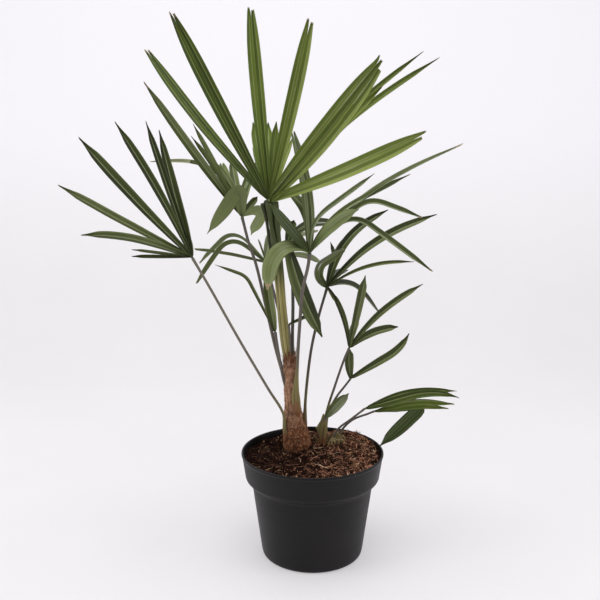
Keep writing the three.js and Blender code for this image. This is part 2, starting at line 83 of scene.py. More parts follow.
def soft_light(name, at, aim, size, power):
    """One square area light at a place, turned towards another."""
    data = bpy.data.lights.new(name, "AREA")
    data.shape = "SQUARE"
    data.size = size
    data.energy = power
    lamp = bpy.data.objects.new(name, data)
    lamp.location = at
    away = np.subtract(at, aim)
    flat = np.hypot(away[0], away[1])
    lamp.rotation_euler = (np.arctan2(flat, away[2]), 0, np.arctan2(away[1], away[0]) + np.pi / 2)
    scene.collection.objects.link(lamp)


soft_light("tent_top", (-0.1, -0.3, 2.3), (0, 0, 0.4), 1.8, 34)
soft_light("tent_left", (-2.3, -0.5, 1.2), (0, 0, 0.45), 1.6, 22)
soft_light("tent_right", (2.3, -0.6, 1.3), (0, 0, 0.45), 1.6, 20)

# %% [markdown]
# ## A store for mesh arrays
# Every piece here is worked out as whole arrays and many small shapes end in one mesh. `Heap` collects
# rings of points, joins each ring to the next with four-sided faces, closes both ends, and writes the
# result at once. It also keeps a `tone` for each shape, so that one finish can vary from leaf to leaf.


# %% Heap of rings
class Heap:
    """Collects closed shapes in millimetres and writes them as one mesh in metres."""

    def __init__(self):
        self.points, self.uv, self.tone, self.quads, self.tris = [], [], [], [], []
        self.count = 0

    def rings(self, rings, uv, tone):
        """A closed shape from rings of equal size: (stations, around, 3), with uv per point."""
        n, m = rings.shape[:2]
        tone = np.broadcast_to(tone, n)
        base = self.count
        a = np.arange(n - 1)[:, None] * m + np.arange(m)[None]
        b = np.arange(n - 1)[:, None] * m + (np.arange(m)[None] + 1) % m
        quads = np.stack([a, b, b + m, a + m], -1).reshape(-1, 4)
        ends = np.stack([rings[0].mean(0), rings[-1].mean(0)])
        k = np.arange(m)
        foot = np.stack([np.full(m, n * m), (k + 1) % m, k], -1)
        last = (n - 1) * m
        head = np.stack([np.full(m, n * m + 1), last + k, last + (k + 1) % m], -1)
        self.add(np.vstack([rings.reshape(-1, 3), ends]),
                 np.vstack([uv.reshape(-1, 2), uv[0].mean(0), uv[-1].mean(0)]),
                 quads + base, np.vstack([foot, head]) + base, np.append(np.repeat(tone, m), tone[[0, -1]]))

    def tube(self, rings, tone):
        """Rings whose map goes half round and back, so there is no seam, and runs along them."""
        self.rings(rings, around(rings), tone)

    def add(self, points, uv, quads, tris, tone):
        """Adds finished arrays; the face numbers already count from self.count."""
        self.points.append(points)
        self.uv.append(uv)
        self.tone.append(np.broadcast_to(tone, len(points)).astype(float))
        self.quads.append(np.asarray(quads).reshape(-1, 4))
        self.tris.append(np.asarray(tris).reshape(-1, 3))
        self.count += len(points)

    def build(self, name, finish, smooth=True):
        """Writes the mesh with its uv map and tone, and gives it a finish."""
        points = np.vstack(self.points) * MM
        quads, tris = np.vstack(self.quads), np.vstack(self.tris)
        loops = np.concatenate([quads.ravel(), tris.ravel()]).astype(np.int32)
        sizes = np.concatenate([np.full(len(quads), 4), np.full(len(tris), 3)])
        mesh = bpy.data.meshes.new(name)
        mesh.vertices.add(len(points))
        mesh.vertices.foreach_set("co", points.astype(np.float32).ravel())
        mesh.loops.add(len(loops))
        mesh.loops.foreach_set("vertex_index", loops)
        mesh.polygons.add(len(sizes))
        starts = np.concatenate([[0], np.cumsum(sizes)[:-1]])
        mesh.polygons.foreach_set("loop_start", starts.astype(np.int32))
        mesh.polygons.foreach_set("use_smooth", np.full(len(sizes), smooth))
        layer = mesh.uv_layers.new(name="UVMap")
        layer.data.foreach_set("uv", np.vstack(self.uv)[loops].astype(np.float32).ravel())
        tone = mesh.attributes.new("tone", "FLOAT", "POINT")
        tone.data.foreach_set("value", np.concatenate(self.tone).astype(np.float32))
        mesh.update(calc_edges=True)
        mesh.validate()
        mesh.materials.append(finish)
        piece = bpy.data.objects.new(name, mesh)
        scene.collection.objects.link(piece)
        print(name, "faces", len(sizes), "triangles", 2 * len(quads) + len(tris))
        return piece


def around(rings):
    """uv for a tube: u goes half round and back, so there is no seam; v runs along it."""
    n, m = rings.shape[:2]
    u = 1 - np.abs(1 - 2 * np.arange(m) / m)
    return np.stack(np.broadcast_arrays(u[None], np.linspace(0, 1, n)[:, None]), -1)


# %% [markdown]
# ## Shader sums
# A finish is easier to read as a sum than as a web of nodes. `Wire` wraps one socket: adding,
# subtracting or multiplying wires adds a Math node. Any other node comes from `Finish.node`, which takes
# the node's type, its settings, and the values or wires of its sockets.


# %% Wires and finishes
class Wire:
    """One number socket that can be used in sums."""

    def __init__(self, finish, socket):
        self.finish, self.socket = finish, socket

    def sum(self, kind, a, b):
        return self.finish.node("Math", {"operation": kind}, {0: a, 1: b})

    def __add__(self, b):
        return self.sum("ADD", self, b)

    __radd__ = __add__

    def __sub__(self, b):
        return self.sum("SUBTRACT", self, b)

    def __rsub__(self, a):
        return self.sum("SUBTRACT", a, self)

    def __mul__(self, b):
        return self.sum("MULTIPLY", self, b)

    def __pow__(self, b):
        return self.sum("POWER", self, b)

    def wave(self):
        """The sine, shifted to run from 0 to 1."""
        return self.sum("SINE", self, 0) * 0.5 + 0.5

    def size(self):
        return self.sum("ABSOLUTE", self, 0)

    def between(self, low, high):
        """0 under low, 1 over high, a smooth step from one to the other."""
        return self.finish.node("MapRange", {"interpolation_type": "SMOOTHSTEP"},
                                {"Value": self, "From Min": low, "From Max": high})


class Finish:
    """A material on the Principled shader."""

    def __init__(self, name, specular=0.5):
        self.material = bpy.data.materials.new(name)
        self.material.use_nodes = True
        self.tree = self.material.node_tree
        self.shader = self.tree.nodes["Principled BSDF"]
        self.shader.inputs["Specular IOR Level"].default_value = specular

    def node(self, kind, settings=None, sockets=None, out=0):
        """Any node: its type, then its settings, then the values or wires of its sockets."""
        made = self.tree.nodes.new("ShaderNode" + kind)
        for key, value in (settings or {}).items():
            setattr(made, key, value)
        for key, value in (sockets or {}).items():
            self.feed(made.inputs[key], value)
        return Wire(self, made.outputs[out])

    def feed(self, socket, value):
        """Links a wire, or sets a number or a colour code."""
        if isinstance(value, Wire):
            self.tree.links.new(value.socket, socket)
        else:
            socket.default_value = rgb(value) if isinstance(value, str) else value

    def place(self, stretch=(1, 1, 1)):
        """Object coordinates in metres, stretched."""
        at = self.node("TexCoord", out="Object")
        return self.node("Mapping", None, {"Vector": at, "Scale": stretch})

    def noise(self, scale, detail=3, stretch=(1, 1, 1)):
        """Cloudy noise from about 0 to 1, so many waves to the metre."""
        return self.node("TexNoise", None, {"Vector": self.place(stretch), "Scale": scale,
                                            "Detail": detail, "Roughness": 0.55})

    def uv(self, axis):
        """One coordinate of the piece's own map."""
        at = self.node("TexCoord", out="UV")
        return self.node("SeparateXYZ", None, {"Vector": at}, out=axis)

    def grain(self, across, along):
        """Noise drawn out along the piece's own map: so many waves across it and along it."""
        at = self.node("TexCoord", out="UV")
        at = self.node("Mapping", None, {"Vector": at, "Scale": (across, along, 1)})
        return self.node("TexNoise", None, {"Vector": at, "Scale": 1, "Detail": 3})

    def tone(self):
        """The number each shape was dealt when it was made."""
        return self.node("Attribute", {"attribute_name": "tone"}, out="Fac")

    def mix(self, part, a, b):
        """A colour that goes from a to b."""
        return self.node("Mix", {"data_type": "RGBA"}, {0: part, 6: a, 7: b}, out=2)

    def glow(self, colour, strength):
        """Adds an even glow of its own."""
        self.shader.inputs["Emission Strength"].default_value = strength
        self.feed(self.shader.inputs["Emission Color"], colour)

    def done(self, colour, rough, height, depth):
        """Feeds the shader; height goes through a Bump node of so many metres."""
        self.feed(self.shader.inputs["Base Color"], colour)
        self.feed(self.shader.inputs["Roughness"], rough)
        bump = self.node("Bump", None, {"Height": height, "Distance": depth, "Strength": 1.0})
        self.feed(self.shader.inputs["Normal"], bump)
        return self.material


def rgb(code):
    """A colour as the shader wants it, from the usual six-figure code."""
    c = np.array([int(code[i:i + 2], 16) for i in (0, 2, 4)]) / 255
    return (*np.where(c <= 0.04045, c / 12.92, ((c + 0.055) / 1.055) ** 2.4), 1)


print("helpers ready")

# %% [markdown]
# ## Floor and backdrop
# On the real set a sheet of pale card hangs behind the plant and runs forward under it. It is made as a
# profile of depth and height, carried from side to side: flat under the pot, then a wide bend, then
# upright.

# %% Floor
bend = np.radians(np.linspace(0, 90, 24))
depth = np.concatenate([[-3.0, 0.9], 0.9 + 0.8 * np.sin(bend), [1.7]])
height = np.concatenate([[0, 0], 0.8 - 0.8 * np.cos(bend), [3.4]])
side = np.array([-4.0, 4.0])
grid = np.stack([np.broadcast_to(side[:, None], (2, len(depth))),
                 np.broadcast_to(depth, (2, len(depth))), np.broadcast_to(height, (2, len(depth)))], -1)
n = len(depth)
k = np.arange(n - 1)
mesh = bpy.data.meshes.new("floor")
mesh.from_pydata(grid.reshape(-1, 3).tolist(), [], np.stack([k, k + n, k + n + 1, k + 1], -1).tolist())
mesh.polygons.foreach_set("use_smooth", np.ones(n - 1, bool))
floor = bpy.data.objects.new("floor", mesh)
scene.collection.objects.link(floor)
card = Finish("card")
upright = card.node("SeparateXYZ", None, {"Vector": card.place()}, out=2).between(0, 0.8)
tint = card.mix(card.noise(3, 2), "e9e6e8", "efecee")
tint = card.mix(upright, tint, "f9f7fb")
card.glow(tint, 0.45)
mesh.materials.append(card.done(card.mix(0.55, "000000", tint), 0.9, card.noise(900), 0.0001))
print("floor runs", float(depth.min()), "to", float(depth.max()))

# %% [markdown]
# ## The pot
# A nursery pot is blown from thin plastic: a tapering wall, a step, a wider collar and a thin rim. Its
# shape is one outline turned round the upright axis, the same outline as the CAD solid's with its
# corners rounded. A turned surface beats a box model here because every section is a circle.

# %% Pot shape
RIM_R, POT_H, FOOT_R, WALL, FLOOR_Z = 114.5, 172, 82, 2.2, 3
COLLAR_Z, COLLAR_R, STEP_Z, STEP_R = 132, 108, 122, 97.5
POT_OUTLINE = np.array([
    (0, 0), (40, 0), (FOOT_R - 8, 0), (FOOT_R - 6, 0), (FOOT_R - 1.8, 1.6), (FOOT_R, 5.5),
    (FOOT_R + 1.4, 15), (STEP_R - 1.4, STEP_Z - 12), (STEP_R, STEP_Z), (STEP_R + 3.5, STEP_Z + 3),
    (COLLAR_R - 1.5, COLLAR_Z - 3), (COLLAR_R, COLLAR_Z), (COLLAR_R + 0.5, COLLAR_Z + 4),
    (RIM_R - 2, POT_H - 10), (RIM_R - 1.4, POT_H - 5), (RIM_R, POT_H - 3.6), (RIM_R - 0.3, POT_H - 0.6),
    (RIM_R - 1, POT_H), (RIM_R - 2.6, POT_H), (RIM_R - 3.6, POT_H - 3), (RIM_R - 4.2, POT_H - 9),
    (COLLAR_R - WALL, COLLAR_Z + 1),
    (STEP_R - WALL, STEP_Z + 1), (FOOT_R - WALL, 8), (FOOT_R - 4.5, FLOOR_Z), (30, FLOOR_Z), (0, FLOOR_Z)])


def rounded(points, rounds=2):
    """Cuts every corner of an open line at a quarter and three quarters, several times."""
    for _ in range(rounds):
        a, b = points[:-1], points[1:]
        cut = np.stack([0.75 * a + 0.25 * b, 0.25 * a + 0.75 * b], 1).reshape(-1, points.shape[1])
        points = np.vstack([points[:1], cut, points[-1:]])
    return points


def turned(outline, sides):
    """Each outline point (radius, height) goes round the axis: (r cos a, r sin a, z)."""
    a = 2 * np.pi * np.arange(sides) / sides
    r, z = outline[:, 0, None], outline[:, 1, None]
    return np.stack(np.broadcast_arrays(r * np.cos(a), r * np.sin(a), z), -1)


outline = rounded(POT_OUTLINE, 2)
outline[:, 0] = np.maximum(outline[:, 0], 0.01)
shell = Heap()
shell.tube(turned(outline, 160), 0.5)

# %% [markdown]
# ## Charcoal plastic
# Blown plastic is satin, never mirror-like: it has a faint grain, a little dust where hands and soil
# have touched it, and slightly paler scuffs. The grain goes into the bump, the dust into colour and
# roughness together, since dust also dulls the gloss.

# %% Pot finish
plastic = Finish("charcoal_plastic", 0.25)
dust = plastic.noise(9, 5).between(0.45, 0.8)
fleck = plastic.noise(420, 2).between(0.68, 0.78)
rings_of_light = plastic.noise(60, 2, (0.15, 0.15, 3))
colour = plastic.mix(dust * 0.5 + fleck * 0.35, "0c0a0c", "242023")
rough = dust * 0.16 + rings_of_light * 0.08 + 0.42
grain = plastic.noise(1500, 2) + rings_of_light * 0.4
pot = shell.build("pot_shell", plastic.done(colour, rough, grain, 0.00012))
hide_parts("pot")
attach(pot, "root")

# %% [markdown]
# ## Noise on arrays
# Fibre, soil and leaf edges all need gentle irregular relief in the mesh itself. A table of random
# numbers, read with smooth steps between its cells, gives that for any array of places.


# %% Patch noise
def patches(x, y, seed):
    """Random values from -1 to 1 at whole numbers, with smooth steps between them."""
    table = np.random.default_rng(seed).uniform(-1, 1, (64, 64))
    i, j = np.floor(x).astype(int), np.floor(y).astype(int)
    u, v = x - i, y - j
    u, v = u * u * (3 - 2 * u), v * v * (3 - 2 * v)
    at = lambda p, q: table[p % 64, q % 64]
    return ((at(i, j) * (1 - u) + at(i + 1, j) * u) * (1 - v)
            + (at(i, j + 1) * (1 - u) + at(i + 1, j + 1) * u) * v)


print("patch noise from", round(float(patches(np.arange(99.0), np.zeros(99), 1).min()), 2))

# %% [markdown]
# ## The soil
# The pot is filled with dark peat, with bark and coir heaped up at the back right. The surface is a
# height over each place in the pot: a slope, the heap, and lumps. Loose bits lie on it as their own
# pieces, because real crumbs, fibres and chips cast small shadows that a bump can't give.

# %% Soil surface
SOIL_Z, SOIL_SLOPE, SOIL_LUMP = 164, 0.028, 0.9
HEAP_H, HEAP_X, HEAP_Y, HEAP_WIDE = 10, 58, 56, 30
HOLLOW_H, HOLLOW_X, HOLLOW_Y, HOLLOW_WIDE = 5, -45, -6, 17
TRUNK_X, TRUNK_Y, TRUNK_CLEAR = -24, 42, 25


def bell(x, y, mid_x, mid_y, wide):
    """1 at the middle, falling off all round."""
    return np.exp(-((x - mid_x) ** 2 + (y - mid_y) ** 2) / (2 * wide ** 2))


def heap_part(x, y):
    """1 at the middle of the heap, 0 away from it."""
    return bell(x, y, HEAP_X, HEAP_Y, HEAP_WIDE)


def soil_height(x, y):
    """The source's slope, heap and lumps."""
    lumps = np.sin(0.19 * x + 1.1) * np.cos(0.23 * y) + np.sin(0.37 * x - 0.31 * y)
    return SOIL_Z + SOIL_SLOPE * x + HEAP_H * heap_part(x, y) + SOIL_LUMP * lumps


def soil_rough(x, y):
    """The same with clods and crumbs of four sizes, and a hollow at the left."""
    hollow = HOLLOW_H * bell(x, y, HOLLOW_X, HOLLOW_Y, HOLLOW_WIDE)
    return (soil_height(x, y) + 1.8 * patches(x / 14, y / 14, 12) + 1.5 * patches(x / 6, y / 6, 3)
            + 0.9 * patches(x / 2.9, y / 2.9, 4) + 0.5 * patches(x / 1.3, y / 1.3, 5) - hollow)


def dealt(x):
    """Tones for loose bits: darker towards the left of the pot."""
    return rng.random(len(x)) * np.clip(0.62 + 0.005 * x, 0.25, 1)


part = np.linspace(1, 0.002, 90)[:, None]
angle = (2 * np.pi * np.arange(360) / 360)[None]
edge = RIM_R - 4.6
x, y = edge * part * np.cos(angle), edge * part * np.sin(angle)
edge_z = soil_rough(x[:1], y[:1])
low = np.stack([x[:1] * 0.985, y[:1] * 0.985, edge_z - 16], -1)
top = np.stack([x, y, soil_rough(x, y)], -1)
ground = Heap()
ground.tube(np.concatenate([low, top]), 0.5)

# %% [markdown]
# ## Peat finish
# Damp peat is nearly black-brown with paler dry crumbs. Two noises of different size pick the colour,
# and the same noises drive a deep bump, so that a pale crumb is also a raised one.

# %% Soil finish
peat = Finish("peat", 0.05)
coarse, fine = peat.noise(130, 4), peat.noise(620, 3)
crumb = coarse * 0.6 + fine * 0.5
colour = peat.mix(crumb.between(0.42, 0.78), "0d0705", "372017")
soil = ground.build("peat_bed", peat.done(colour, 0.95 - fine * 0.15, crumb, 0.0025))
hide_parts("soil")
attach(soil, "root")

# %% [markdown]
# ## Loose bits on the soil
# Crumbs are small closed lumps with eight faces. Fibres are thin bent strips with three sides. Both are
# made for all places at once: random places in the pot, kept off the trunk's foot, then sizes and turns
# from one seeded generator, so that every run gives the same bed.


# %% Scatter
def scatter(count, lean_to_heap):
    """Places in the pot as x and y; a share of them drawn to the heap and the right side."""
    r = (edge - 4) * np.sqrt(rng.random(count * 4))
    a = 2 * np.pi * rng.random(count * 4)
    x, y = r * np.cos(a), r * np.sin(a)
    want = 1 - lean_to_heap + lean_to_heap * np.clip(0.15 + 0.006 * x + heap_part(x, y), 0, 1)
    free = (np.hypot(x - TRUNK_X, y - TRUNK_Y) > TRUNK_CLEAR) & (rng.random(count * 4) < want)
    return x[free][:count], y[free][:count]


def lumps(heap, count, small, large, lean_to_heap, flat=0.6):
    """Eight-faced lumps: six corners at uneven distances from the middle, a little sunk in."""
    x, y = scatter(count, lean_to_heap)
    n = len(x)
    size = small + (large - small) * rng.random(n) ** 3
    corners = np.array([(1, 0, 0), (0, 1, 0), (-1, 0, 0), (0, -1, 0), (0, 0, 1), (0, 0, -1.0)])
    body = corners[None] * rng.uniform(0.5, 1, (n, 6, 1)) * size[:, None, None]
    body += rng.normal(0, 0.15, body.shape) * size[:, None, None]
    body[..., 2] *= flat
    turn = rng.uniform(0, 2 * np.pi, n)[:, None]
    px = body[..., 0] * np.cos(turn) - body[..., 1] * np.sin(turn)
    py = body[..., 0] * np.sin(turn) + body[..., 1] * np.cos(turn)
    z = soil_rough(x, y) + size * flat * 0.3
    points = np.stack([px + x[:, None], py + y[:, None], body[..., 2] + z[:, None]], -1).reshape(-1, 3)
    faces = [(0, 1, 4), (1, 2, 4), (2, 3, 4), (3, 0, 4), (1, 0, 5), (2, 1, 5), (3, 2, 5), (0, 3, 5)]
    tris = np.array(faces)[None] + 6 * np.arange(n)[:, None, None] + heap.count
    heap.add(points, points[:, :2] / 10, np.zeros((0, 4), int), tris, np.repeat(0.6 * dealt(x), 6))


def fibres(heap, x, y, z, heading, rise, long, thick, curl, stations=6):
    """Thin strips: a line that turns by `curl` along its length, with a three-sided section."""
    n = len(x)
    s = np.linspace(0, 1, stations)
    way = heading[:, None] + curl[:, None] * s[None]
    step = long[:, None] / (stations - 1)
    dx, dy = np.cos(way) * np.cos(rise)[:, None] * step, np.sin(way) * np.cos(rise)[:, None] * step
    px = x[:, None] + np.cumsum(dx, 1) - dx[:, :1]
    py = y[:, None] + np.cumsum(dy, 1) - dy[:, :1]
    pz = z[:, None] + (np.sin(rise) * long)[:, None] * s[None] + 0.12 * long[:, None] * s * (1 - s)
    r = thick[:, None] * (1 - 0.6 * s[None])
    spin = 2 * np.pi * np.arange(3) / 3
    across, up = np.cos(spin), np.sin(spin)
    ring = np.stack([px[..., None] - np.sin(way)[..., None] * r[..., None] * across,
                     py[..., None] + np.cos(way)[..., None] * r[..., None] * across,
                     pz[..., None] + r[..., None] * up], -1)
    m = stations * 3
    i = np.arange(stations - 1)[:, None] * 3 + np.arange(3)[None]
    j = np.arange(stations - 1)[:, None] * 3 + (np.arange(3)[None] + 1) % 3
    quads = np.stack([i, j, j + 3, i + 3], -1).reshape(-1, 4)
    ends = np.array([(0, 2, 1), (m - 3, m - 2, m - 1)])
    shift = m * np.arange(n)[:, None, None] + heap.count
    uv = np.stack(np.broadcast_arrays(np.array([0, 0.5, 1.0]), s[None, :, None] * np.ones((n, 1, 1))), -1)
    heap.add(ring.reshape(-1, 3), uv.reshape(-1, 2), quads[None] + shift, ends[None] + shift,
             np.repeat(dealt(x), m))


def strewn(count, lean_to_heap, short, tall, thin, thick):
    """Fibres that lie on the soil every way round."""
    x, y = scatter(count, lean_to_heap)
    n = len(x)
    one = rng.random
    heading = 2 * np.pi * one(n)
    long = short + (tall - short) * one(n) ** 2
    reach_x, reach_y = x + np.cos(heading) * long, y + np.sin(heading) * long
    turn = np.hypot(reach_x, reach_y) > edge - 3
    heading = np.where(turn, np.arctan2(-y, -x) + 0.8 * (one(n) - 0.5), heading)
    end_z = soil_rough(x + np.cos(heading) * long, y + np.sin(heading) * long)
    z = soil_rough(x, y)
    rise = np.arctan2(end_z - z, long) + np.radians(rng.uniform(-4, 9, n) + 25 * one(n) * heap_part(x, y))
    return x, y, z + 0.4, heading, rise, long, thin + (thick - thin) * one(n), rng.normal(0, 0.9, n)


print("soil from", round(float(top[..., 2].min()), 1), "to", round(float(top[..., 2].max()), 1), "mm")

# %% Crumbs, chips and fibres
crumbs = Heap()
lumps(crumbs, 5000, 0.6, 4.0, 0.1)
dark = Finish("dark_crumb", 0.05)
shade = dark.mix(dark.tone() * 0.9 + dark.noise(500) * 0.3 - 0.05, "0d0706", "3a2118")
dark_bits = crumbs.build("peat_crumbs", dark.done(shade, 0.95, dark.noise(900), 0.0006), smooth=False)

bark = Heap()
lumps(bark, 1100, 1.0, 7, 0.85, flat=0.4)
fibres(bark, *strewn(1900, 0.75, 5, 22, 0.35, 1.15))
brown = Finish("bark_fibre", 0.1)
shade = brown.mix(brown.tone() ** 1.7 * 1.2 + brown.noise(300) * 0.2 - 0.08, "2a140d", "c08a6c")
brown_bits = bark.build("bark_and_coir", brown.done(shade, 0.88, brown.noise(1200), 0.0004), smooth=False)

pale = Heap()
lumps(pale, 70, 1.0, 3.0, 0.4, flat=0.5)
fibres(pale, *strewn(260, 0.6, 5, 24, 0.2, 0.6))
straw = Finish("pale_straw", 0.3)
shade = straw.mix(straw.tone(), "b98f68", "e0c7a6")
pale_bits = pale.build("pale_straw", straw.done(shade, 0.85, straw.noise(1200), 0.0003), smooth=False)
for piece in (dark_bits, brown_bits, pale_bits):
    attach(piece, "root")

# %% [markdown]
# ## Lines through places
# Trunk and stalks follow smooth lines through a few stated places. The line is the centripetal curve
# that the source uses: it passes through every place and never loops on uneven spacing. Along it goes a
# pair of crosswise directions, each carried over from the last so that the section doesn't spin.


# %% Curve and frames
def through(places, u):
    """The smooth line through the places, at the parts u from 0 to 1."""
    p = np.asarray(places, float)
    p = np.vstack([2 * p[0] - p[1], p, 2 * p[-1] - p[-2]])
    place = np.clip(np.asarray(u) * (len(p) - 3), 0, len(p) - 3 - 1e-9)
    i = place.astype(int)
    w = (place - i)[:, None]
    a, b, c, d = p[i], p[i + 1], p[i + 2], p[i + 3]
    gap = lambda q, r: np.maximum(np.sqrt(np.linalg.norm(r - q, axis=1)), 1e-4)[:, None]
    t0, t1, t2 = gap(a, b), gap(b, c), gap(c, d)
    m1 = ((b - a) / t0 - (c - a) / (t0 + t1) + (c - b) / t1) * t1
    m2 = ((c - b) / t1 - (d - b) / (t1 + t2) + (d - c) / t2) * t1
    return (b + m1 * w + (-3 * b + 3 * c - 2 * m1 - m2) * w ** 2 + (2 * b - 2 * c + m1 + m2) * w ** 3)


def frames(line, start):
    """Unit tangent, outward and side directions at each station, carried along unturned."""
    t = np.gradient(line, axis=0)
    t /= np.linalg.norm(t, axis=1, keepdims=True)
    up = np.zeros_like(line)
    last = np.asarray(start, float)
    for i, tangent in enumerate(t):
        last = last - tangent * (last @ tangent)
        last = last / np.linalg.norm(last)
        up[i] = last
    return t, up, np.cross(t, up)


def limb(line, radius):
    """Rings round a line, from a radius for each station and each way round it."""
    _, up, side = frames(line, (1, 0.01, 0))
    a = 2 * np.pi * np.arange(radius.shape[1]) / radius.shape[1]
    r = radius[..., None]
    return (line[:, None] + r * np.cos(a)[None, :, None] * up[:, None]
            + r * np.sin(a)[None, :, None] * side[:, None])


print("curve helpers ready")

# %% [markdown]
# ## The trunk
# A young fan palm has no bark. Its trunk is wrapped in brown matting, the torn fibre of old leaf bases,
# which winds round in slanting layers. The base form is the source's: a radius at each station along a
# leaning line. The layers are slow steps round it, and two sets of crossing ribs give the weave.

# %% Trunk shape
TRUNK_AT = [(TRUNK_X, TRUNK_Y, 161.5), (-25.3, 39, 176), (-27, 36, 190), (-28.4, 33.5, 203),
            (-30.6, 31, 220), (-33, 28, 246), (-35.5, 24, 272), (-35.5, 20, 300), (-37, 17, 322)]
TRUNK_R = [24, 23, 21.5, 19.3, 16, 12, 10.8, 11, 9.4]
SHEATH_PITCH, SHEATH_STEP = 17, 0.05
STATIONS, SIDES = 260, 200
u = np.linspace(0, 1, STATIONS)
line = through(TRUNK_AT, u)
base_r = np.interp(u, np.linspace(0, 1, len(TRUNK_R)), TRUNK_R)[:, None]
wrap = np.arange(SIDES)[None]
a = 2 * np.pi * wrap / SIDES
z = line[:, 2:]
layer = ((z + 6 * np.cos(a) + 4 * np.sin(2 * a)) / SHEATH_PITCH) % 1
weave = (np.abs(np.sin(0.32 * wrap + 0.9 * z + 3 * patches(wrap / 11, z / 9, 6)))
         + np.abs(np.sin(0.41 * wrap - 0.8 * z + 3 * patches(wrap / 9, z / 8, 7))))
shag = patches(wrap / 2.2, z / 3.2, 8) + 0.8 * patches(wrap / 1.1, z / 1.6, 9)
tufts = patches(wrap / 12, z / 7, 10)
reach = base_r * (1.01 - SHEATH_STEP * layer) + 0.3 * weave + 0.5 * shag + 0.5 * tufts - 0.4
trunk_rings = line[:, None] + reach[..., None] * np.stack([np.cos(a), np.sin(a), 0 * a], -1)
torn = 5 + 7 * patches(wrap / 5, 0 * wrap, 14) + 4 * patches(wrap / 2, 0 * wrap, 15)
trunk_rings[..., 2] += np.clip((u - 0.86) / 0.14, 0, 1)[:, None] * torn
column = Heap()
column.tube(trunk_rings, 0.5)
print("trunk", round(float(reach[0].max() * 2), 1), "mm across at the foot")

# %% Trunk finish
matting = Finish("brown_matting", 0.25)
streak = matting.noise(330, 4, (1, 1, 0.45))
cloud = matting.noise(45, 4)
thread = matting.noise(1100, 2, (1, 1, 0.25))
height_up = matting.uv(1)
blot = matting.noise(85, 5, (1, 1, 0.6))
grain = matting.noise(520, 3, (1, 1, 0.35))
brown_tone = matting.mix(streak.between(0.35, 0.7), "5a351f", "a76d48")
rosy = matting.mix(streak.between(0.3, 0.7), "8c6047", "d3a788")
colour = matting.mix((height_up * 1.6 - 0.62 + cloud * 0.3).between(0, 0.5), brown_tone, rosy)
colour = matting.mix(grain.between(0.5, 0.7) * 0.45, colour, "d3ad8e")
colour = matting.mix(blot.between(0.48, 0.7) * (0.75 - height_up * 0.4), colour, "3d2413")
skin = matting.done(colour, 0.92 - thread * 0.1, streak * 0.6 + thread * 0.5, 0.0018)
trunk = column.build("trunk_fibre", skin)
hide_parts("trunk")
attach(trunk, "root")

# %% [markdown]
# ## Loose fibre on the trunk
# Torn threads stand a little off the matting, most of them near the foot, and soften the trunk's
# outline. They are the same thin strips as on the soil, but set on the trunk's surface and run upward.

# %% Loose threads
n = 1700
row = rng.integers(4, 250, n)
row = np.where(rng.random(n) < 0.6, row // 2 + 4, row)
col = rng.integers(0, SIDES, n)
swing = rng.normal(0, 0.9, n)
heading = 2 * np.pi * col / SIDES + swing + np.pi / 2 * np.sign(swing)
rise = np.radians(rng.uniform(-10, 75, n))
threads = Heap()
fibres(threads, *trunk_rings[row, col].T, heading, rise, rng.uniform(3, 9, n), rng.uniform(0.12, 0.28, n),
       rng.normal(0, 1.1, n))
n = 240
row = rng.integers(232, 258, n)
col = rng.integers(0, SIDES, n)
x, y, z = trunk_rings[row, col].T
rise = np.radians(rng.uniform(70, 92, n))
fibres(threads, x, y, z - 2, 2 * np.pi * col / SIDES, rise, rng.uniform(6, 20, n),
       rng.uniform(0.25, 0.6, n), rng.normal(0, 0.6, n))
hair = Finish("trunk_thread", 0.3)
shade = hair.mix(hair.tone(), "6b3b22", "c08a5e")
strands = threads.build("trunk_threads", hair.done(shade, 0.85, hair.noise(1500), 0.0002))
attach(strands, "root")

# %% [markdown]
# ## The fronds' sizes
# Each frond is a stalk and a fan. The rows repeat the source's sizes, in millimetres and degrees: where
# the hub is, which way the fan faces, the stalk's route and radii, and for each leaflet its direction
# seen from the front, its lean towards the viewer, length, width and bend.


# %% Frond sizes
def leaf(turn, lean, long, wide, bend, knee=0.5, soft=1.0, peak=0.58, tip=0.3):
    """One leaflet's sizes, with the source's usual values for the last four."""
    return dict(turn=turn, lean=lean, long=long, wide=wide, bend=bend, knee=knee, soft=soft, peak=peak,
                tip=tip)


def fan(name, green, hub, face, knuckle, stalk, r, *leaflets):
    """One frond: hub and the way it faces, hub radius, the stalk's places and radii, its leaflets."""
    return dict(name=name, green=green, hub=hub, face=face, knuckle=knuckle, stalk=stalk, r=r,
                leaflets=leaflets)


